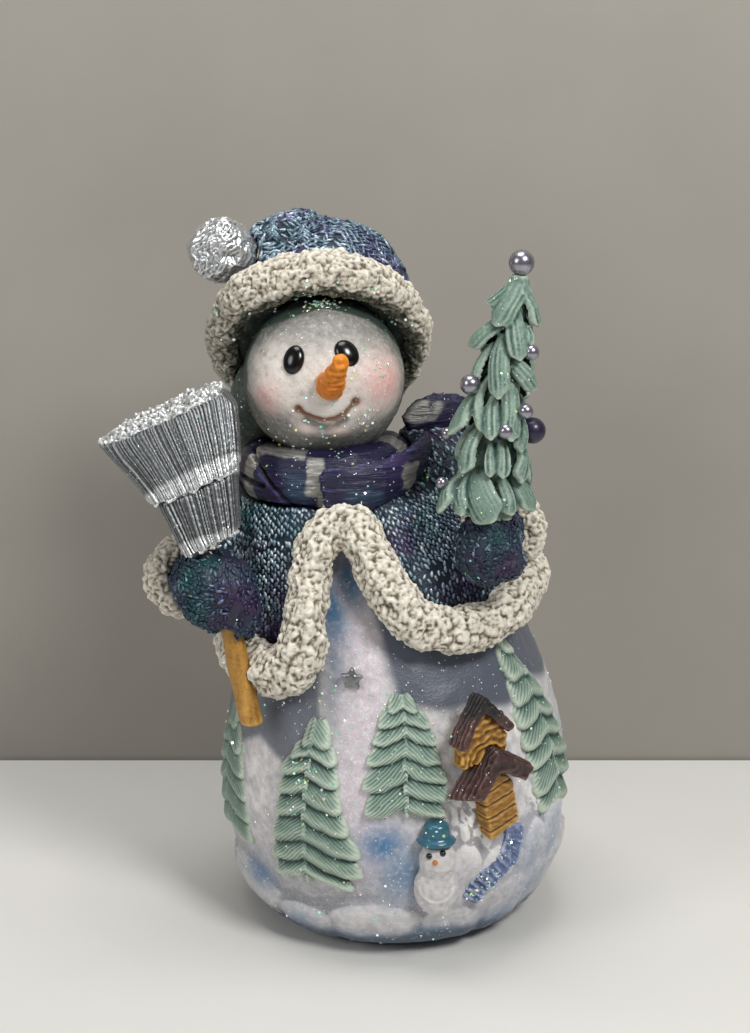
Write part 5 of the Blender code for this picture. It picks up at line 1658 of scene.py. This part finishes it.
class Cottage(bpy.types.Operator):
    """Models the thatched cottage with its plank door and the garden path"""

    bl_idname = "snowman.cottage"
    bl_label = "Cottage and path"

    def steps(self, context):
        """Worn slabs, each tipped a little, that lie on the snow from the door down to the bank."""
        random = np.random.default_rng(158)
        snow = BVHTree.FromObject(piece("snow_body"), context.evaluated_depsgraph_get())
        bm = bmesh.new()
        spots = []
        for degrees, height in STEPS_DOWN:
            out = Vector((math.sin(math.radians(degrees)), -math.cos(math.radians(degrees)), 0))
            spots.append((snow.ray_cast(Vector(on_body(degrees, height, 12.0)) * MM, -out)[0], out))
        for i, (spot, out) in enumerate(spots):
            slab = bmesh.ops.create_cube(bm, size=MM)["verts"]
            bmesh.ops.scale(bm, verts=slab, vec=(5.2 * random.uniform(0.9, 1.1), 1.9, 2.7))
            edges = list({edge for vert in slab for edge in vert.link_edges})
            slab = bmesh.ops.bevel(
                bm, geom=edges, offset=0.45 * MM, segments=3, profile=0.5, affect="EDGES", material=-1
            )["verts"]
            face = (out + Vector((0, 0, 0.5))).normalized()
            way = spots[max(i - 2, 0)][0] - spots[min(i + 2, len(spots) - 1)][0]
            across = way.cross(face).normalized()
            turn = Matrix((across, face.cross(across), face)).transposed().to_4x4()
            bmesh.ops.transform(bm, verts=slab, matrix=Matrix.Translation(spot) @ turn)
        path = object_of("garden_path", bm)
        cells = path.modifiers.new("cells", "REMESH")
        cells.mode = "VOXEL"
        cells.voxel_size = 0.26 * MM
        apply_modifiers(path)
        points = rubbed(points_of(path.data), edges_of(path.data), 3)
        place_points(path.data, points)
        raise_surface(path, 0.22 * rolling(points, 1.6, 160) + 0.10 * rolling(points, 0.8, 159))
        note_relief(path, 14)
        return path

    def execute(self, context):
        colours = paints()
        stops = [(0.0, colours.roof_wash), (0.5, colours.roof), (1.0, linear("#755450"))]
        thatch = brushed(
            "Red-brown thatch acrylic", stops, -0.16, 0.20, 0.08, rough=0.42, grain=0.15, glints=0.03
        )
        tree, shader = thatch.node_tree, thatch.node_tree.nodes["Principled BSDF"]
        # Each roof darkens towards its top.
        soot = add(tree, "Attribute", attribute_name="soot").outputs["Fac"]
        painted = shader.inputs["Base Color"].links[0].from_socket
        tree.links.new(mixed(tree, soot, painted, linear("#0d0c0c")), shader.inputs["Base Color"])
        for seed, (name, push) in enumerate((("cottage_upper_roof", 1.2), ("cottage_lower_roof", 0.0))):
            roof = clay(name, 0.24, 0.4, 0.25)
            points = points_of(roof.data)
            low, high = points[:, 2].min(), points[:, 2].max()
            share = (points[:, 2] - low) / (high - low)
            points = points + push * (share**1.5)[:, None] * (COTTAGE_RIGHT + [0, 0, -0.9])
            place_points(roof.data, points)
            out = points @ COTTAGE_AWAY
            strands = out + 0.55 * rolling(points, 3, 150 + seed) + 0.3 * rolling(points, 1.3, 154)
            waves = np.cos(2 * math.pi * strands / 1.15)
            uneven = 0.22 * rolling(points, 1.2, 152) + 0.25 * rolling(points, 3.5, 153)
            raise_surface(roof, 0.17 * waves + uneven)
            note_relief(roof, 10)
            # Darker towards the top of each roof, the upper roof more so.
            darkening_upward = step_up(share + 0.2 * rolling(points, 3, 151), 0.55, 0.5)
            write_mask(roof.data, "soot", (0.95 - 0.5 * seed) * darkening_upward)
            finish(roof, "roof", thatch, name)
        straw = ochre_paint("Ochre straw acrylic")
        walls = clay("cottage_upper_walls", 0.24, 0.35, 0.25)
        points = points_of(walls.data)
        middle = on_body(33.0, 44.0) + COTTAGE_RIGHT * -4.5 + np.array([0, 0, 9.0])
        ring = np.hypot((points - middle) @ COTTAGE_RIGHT, points[:, 2] - middle[2])
        arcs = np.cos(2 * math.pi * (ring + 0.8 * rolling(points, 2.2, 155)) / 1.9)
        raise_surface(walls, 0.18 * arcs + 0.32 * rolling(points, 1.1, 156))
        note_relief(walls, 10)
        finish(walls, "ochre", straw, "cottage_upper_walls")
        door = clay("cottage_door", 0.24, 0.35, 0.25)
        points = points_of(door.data)
        slope = points[:, 2] - 0.30 * ((points - middle) @ COTTAGE_RIGHT) + 0.2 * rolling(points, 2, 161)
        gaps = bump((slope / 3.5) % 1.0, 0.5, 0.08)
        raise_surface(door, 0.15 * rolling(points * [1, 1, 2], 1.3, 157) - 0.4 * gaps)
        note_relief(door, 10)
        finish(door, "ochre", straw, "cottage_door")
        path = self.steps(context)
        stops = [(0.0, linear("#38465f")), (0.5, colours.path), (1.0, linear("#a9b3cd"))]
        lilac = brushed(
            "Blue-lilac glitter acrylic", stops, -0.15, 0.18, 0.12, rough=0.42, grain=0.2, glints=0.14
        )
        finish(path, "path", lilac, "garden_path")
        return {"FINISHED"}


class SmallSnowman(bpy.types.Operator):
    """Models the tiny snowman in relief and the silver star"""

    bl_idname = "snowman.small_snowman"
    bl_label = "Small snowman and star"

    def execute(self, context):
        colours = paints()
        figure = clay("small_snowman", 0.24, 0.5, 0.3)
        points = points_of(figure.data)
        low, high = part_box("small_snowman")
        middle = np.array((low + high) / 2) / MM
        side = (points[:, 0] - middle[0]) / 5.2
        rise = points[:, 2] - (low.z / MM + 8.2)
        arms = bump(np.hypot(side * 5.2, rise * 1.15), 4.1, 0.55) * step_up(-rise, -0.5, 2.0)
        raise_surface(figure, 0.2 * arms + 0.14 * rolling(points, 1.2, 160))
        note_relief(figure, 10)
        stops = [(0.0, linear("#77767c")), (0.5, linear("#c2bfc0")), (1.0, linear("#e9e6e5"))]
        white = brushed("Greyed white acrylic", stops, -0.12, 0.14, 0.08, rough=0.45, grain=0.15, glints=0.03)
        finish(figure, "snow", white, "small_snowman")
        hat = clay("small_snowman_hat", 0.22, 0.35, 0.15)
        place_points(hat.data, points_of(hat.data) + [0, 0, 0.9])
        teal = enamel("Teal-blue gloss enamel", colours.small_hat, 0.3)
        finish(hat, "small_hat", teal, "small_snowman_hat")
        tree = BVHTree.FromObject(figure, context.evaluated_depsgraph_get())
        specks = (
            ("left", -1.9, 16.6, 0.75, "eye"),
            ("right", 1.3, 17.3, 0.75, "eye"),
            ("nose", -0.5, 15.3, 0.65, "carrot"),
        )
        for name, x, rise, radius, slot in specks:
            start = Vector(((middle[0] + x) * MM, -80 * MM, low.z + rise * MM))
            spot = tree.ray_cast(start, Vector((0, 1, 0)))[0]
            bm = bmesh.new()
            bmesh.ops.create_uvsphere(bm, u_segments=16, v_segments=10, radius=radius * MM)
            bmesh.ops.translate(bm, verts=bm.verts, vec=spot or start)
            speck = object_of("small_snowman_" + name, bm)
            shade = linear("#0a0a0c") if slot == "eye" else colours.carrot
            finish(speck, slot, enamel("Enamel dot " + name, shade, 0.2))
        star = clay("star", 0.14, 0.2, 0.32)
        raise_surface(star, 0.12 * rolling(points_of(star.data), 0.9, 165))
        note_relief(star, 12)
        finish(star, "silver", silver_paint(), "star")
        return {"FINISHED"}


# Glitter. No flake lies lower than this, in millimetres, so none goes under the foot.
FLAKES_FROM = 1.5
GLITTERED = [
    # piece, share of the flakes
    ("snow_body", 0.36),
    ("head", 0.045),
    ("coat_stitches", 0.09),
    ("held_tree", 0.04),
    ("winter_tree_left", 0.05),
    ("winter_tree_middle", 0.03),
    ("winter_tree_right", 0.03),
    ("winter_tree_far_left", 0.02),
    ("hat_stitches", 0.05),
    ("hat_lining", 0.06),
    ("coat_fur", 0.04),
    ("hat_fur", 0.05),
    ("scarf_wrap", 0.02),
    ("scarf_overlap", 0.01),
    ("cottage_upper_roof", 0.005),
    ("garden_path", 0.03),
    ("broom_upper_bristles", 0.02),
    ("left_mitten", 0.01),
    ("right_mitten", 0.01),
]


# Thick patches of glitter: piece, middle in millimetres, reach, how many flakes
GLITTER_PATCHES = [
    ("head", (-15.8, -11.2, 155.8), 2.2, 34),
    ("head", (-20.0, -11.3, 155.4), 2.4, 20),
    ("hat_lining", (-25.8, -4.5, 155.7), 4, 16),
    ("hat_fur", (-22.0, -12.8, 157.6), 4, 14),
    ("head", (-3.6, -17.9, 141.9), 2.2, 14),
    ("head", (-10.3, -22.7, 140.7), 1.6, 4),
    ("head", (-8.4, -20.6, 130.5), 3.0, 26),
    ("head", (-16.0, -20.5, 128.0), 7, 22),
    ("head", (-26.8, -21.6, 138.0), 1.5, 4),
    ("hat_fur", (3.8, -6.3, 151.2), 3, 6),
    ("scarf_wrap", (-13.3, -19.4, 122.7), 3, 4),
    ("scarf_overlap", (-5.7, -26.4, 115.3), 1.5, 2),
    ("coat_stitches", (9.0, -14.0, 110.0), 7, 24),
    ("left_mitten", (-38.0, -35.0, 104.0), 3, 4),
    ("right_mitten", (19.8, -41.5, 99.6), 3, 5),
    ("snow_body", (-16.0, -38.0, 70.0), 3, 5),
    ("snow_body", (-8.0, -39.0, 60.0), 9, 24),
    ("winter_tree_left", (-22.6, -38.0, 49.0), 3.5, 30),
    ("winter_tree_left", (-22.3, -40.0, 40.0), 3, 18),
    ("garden_path", (18.5, -38.5, 18.8), 2.2, 26),
    ("garden_path", (22.8, -38.0, 22.2), 2.5, 16),
    ("snow_body", (6.0, -40.0, 16.0), 8, 20),
    ("winter_tree_right", (38.0, -13.2, 57.9), 4, 7),
    ("small_snowman_hat", (8.4, -47.2, 36.8), 2.5, 6),
    ("held_tree", (14.0, -37.0, 116.0), 5, 7),
]


def strewn_over(obj, count, random, middle=None, reach=1.0):
    """Random spots on a piece, spread evenly over its area or thickest round a middle, with their normals."""
    mesh = obj.data
    mesh.calc_loop_triangles()
    corners = np.empty(3 * len(mesh.loop_triangles), np.int32)
    mesh.loop_triangles.foreach_get("vertices", corners)
    a, b, c = points_of(mesh)[corners.reshape(-1, 3)].transpose(1, 0, 2)
    cross = np.cross(b - a, c - a)
    area = np.linalg.norm(cross, axis=1)
    weight = area * (c[:, 2] > FLAKES_FROM)
    if middle is not None:
        weight = weight * bump(np.linalg.norm(a - middle, axis=1), 0, reach)
    pick = random.choice(len(area), count, p=weight / weight.sum())
    u, v = random.random((2, count, 1))
    flip = u + v > 1
    u, v = np.where(flip, 1 - u, u), np.where(flip, 1 - v, v)
    spots = a[pick] + u * (b[pick] - a[pick]) + v * (c[pick] - a[pick])
    return spots, cross[pick] / np.maximum(area[pick, None], 1e-9)


class Glitter(bpy.types.Operator):
    """Strews glitter flakes over the wet varnish; the flakes glow faintly as a painted sparkle"""

    bl_idname = "snowman.glitter"
    bl_label = "Glitter"

    def execute(self, context):
        random = np.random.default_rng(170)
        spots, normals = [], []
        for name, share in GLITTERED:
            found = strewn_over(piece(name), int(share * sizes().flakes), random)
            spots.append(found[0])
            normals.append(found[1])
        for name, middle, reach, count in GLITTER_PATCHES:
            found = strewn_over(piece(name), count, random, np.array(middle), reach)
            spots.append(found[0])
            normals.append(found[1])
        spots, normals = np.concatenate(spots), np.concatenate(normals)
        facing = normals + random.normal(0, 0.28, normals.shape)
        scales = random.uniform(0.6, 1.35, len(spots))
        aside = np.roll(normals, 1, axis=1) + 0.1
        turns = random.uniform(0, 6, len(spots))
        places = frames_on(spots + normals * 0.16, facing, aside, turns, scales)
        bm = bmesh.new()
        bmesh.ops.create_cone(
            bm, cap_ends=True, cap_tris=False, segments=6,
            radius1=sizes().flake / 2 * MM, radius2=sizes().flake / 2.2 * MM, depth=0.05 * MM,
        )
        bmesh.ops.triangulate(bm, faces=bm.faces)
        flake = bpy.data.meshes.new("flake")
        bm.to_mesh(flake)
        bm.free()
        obj = strewn("glitter", flake, places, random.random(len(spots)))
        obj.data.shade_flat()
        material, tree, shader, _ = new_paint("Iridescent polyester glitter")
        tint = add(tree, "Attribute", attribute_name="tint").outputs["Fac"]
        stops = [
            (0.0, linear("#ffffff")),
            (0.35, linear("#f1fff8")),
            (0.55, linear("#a8f5dc")),
            (0.72, linear("#7ff0c0")),
            (0.86, linear("#fbffa8")),
            (1.0, linear("#ffd9ec")),
        ]
        tone = add(tree, "ValToRGB", {"Fac": tint}, stops).outputs["Color"]
        tree.links.new(tone, shader.inputs["Base Color"])
        shader.inputs["Metallic"].default_value = 0.75
        shader.inputs["Roughness"].default_value = 0.22
        # The flakes glow faintly in their own colours: a painted sparkle, though no lamp is in them.
        tree.links.new(tone, shader.inputs["Emission Color"])
        shader.inputs["Emission Strength"].default_value = 0.22
        finish(obj, "silver", material)
        return {"FINISHED"}


# Stage: all places in metres.
CAMERA_SPOT = (-0.00478, -0.3885, 0.19857)
CAMERA_PITCH = math.radians(76)
CAMERA_LENS = 55.76
FLOOR_BACK = 0.087
STAGE_HALF = 1.5
# name, place, size, power in watts
LAMPS = [
    ("key", (0.31, -0.46, 0.60), 0.22, 3.9),
    ("fill", (-0.50, -0.40, 0.40), 0.30, 1.3),
    ("top", (-0.05, -0.02, 0.75), 0.40, 2.45),
]


class Stage(bpy.types.Operator):
    """Sets the pale floor, the backdrop, the soft lights and the camera"""

    bl_idname = "snowman.stage"
    bl_label = "Stage"

    def execute(self, context):
        colours = paints()
        bm = bmesh.new()
        bmesh.ops.create_grid(bm, x_segments=1, y_segments=1, size=STAGE_HALF)
        bmesh.ops.translate(bm, verts=bm.verts, vec=(0, FLOOR_BACK - STAGE_HALF, 0))
        floor = object_of("floor", bm)
        if floor.data.polygons[0].normal.z < 0:
            floor.data.flip_normals()
        bm = bmesh.new()
        bmesh.ops.create_grid(bm, x_segments=1, y_segments=1, size=STAGE_HALF)
        bmesh.ops.rotate(bm, verts=bm.verts, cent=(0, 0, 0), matrix=Matrix.Rotation(math.pi / 2, 3, "X"))
        bmesh.ops.translate(bm, verts=bm.verts, vec=(0, FLOOR_BACK + 0.001, 1.2))
        wall = object_of("backdrop", bm)
        looks = ((floor, "Pale honed stone", colours.floor), (wall, "Matt grey wall", colours.wall))
        for obj, name, shade in looks:
            material, tree, shader, millimetres = new_paint(name)
            cloud = add(tree, "TexNoise", {"Vector": millimetres, "Scale": 0.02, "Detail": 4.0})
            tone = mixed(tree, 0.06, shade, cloud.outputs["Fac"])
            tree.links.new(tone, shader.inputs["Base Color"])
            shader.inputs["Roughness"].default_value = 0.6
            obj.data.materials.append(material)

        for name, place, width, power in LAMPS:
            light = bpy.data.lights.new(name, "AREA")
            light.shape = "DISK"
            light.size = width
            light.energy = power
            light.color = linear("#fffefb")[:3]
            lamp = new_object(name, light)
            lamp.location = place
            aim = Vector((-0.005, 0, 0.09)) - lamp.location
            lamp.rotation_euler = aim.to_track_quat("-Z", "Y").to_euler()
        world = context.scene.world or bpy.data.worlds.new("room")
        context.scene.world = world
        world.use_nodes = True
        world.node_tree.nodes["Background"].inputs["Color"].default_value = linear("#e0e4e6")
        world.node_tree.nodes["Background"].inputs["Strength"].default_value = 0.18

        camera = bpy.data.cameras.new("camera")
        camera.lens = CAMERA_LENS
        camera.sensor_fit = "VERTICAL"
        camera.sensor_height = 36
        viewer = new_object("camera", camera)
        viewer.location = CAMERA_SPOT
        viewer.rotation_euler = (CAMERA_PITCH, 0, 0)
        context.scene.camera = viewer
        context.scene.view_settings.view_transform = "Standard"
        return {"FINISHED"}


STEPS = [
    SnowBody,
    HeadAndFace,
    FurTrims,
    KnittedCoat,
    Mittens,
    Hat,
    Scarf,
    Broom,
    HeldTree,
    WinterTrees,
    Cottage,
    SmallSnowman,
    Glitter,
    Stage,
]


class SnowmanPanel(bpy.types.Panel):
    """Sizes, paints and the steps that make the figurine"""

    bl_idname = "VIEW3D_PT_snowman"
    bl_label = "Painted snowman"
    bl_space_type = "VIEW_3D"
    bl_region_type = "UI"
    bl_category = "Snowman"

    def draw(self, context):
        column = self.layout.column()
        for step in STEPS:
            column.operator(step.bl_idname)
        for group in (context.scene.snowman_sizes, context.scene.snowman_paints):
            column.separator()
            for name in group.bl_rna.properties.keys():
                if name not in ("rna_type", "name"):
                    column.prop(group, name)


CLASSES = [SnowmanSizes, SnowmanPaints, *STEPS, SnowmanPanel]


def register():
    for kind in CLASSES:
        bpy.utils.register_class(kind)
    bpy.types.Scene.snowman_sizes = PointerProperty(type=SnowmanSizes)
    bpy.types.Scene.snowman_paints = PointerProperty(type=SnowmanPaints)


def unregister():
    del bpy.types.Scene.snowman_paints
    del bpy.types.Scene.snowman_sizes
    for kind in reversed(CLASSES):
        bpy.utils.unregister_class(kind)


def main():
    register()
    for step in STEPS:
        group, name = step.bl_idname.split(".")
        getattr(getattr(bpy.ops, group), name)()


if __name__ == "__main__":
    main()
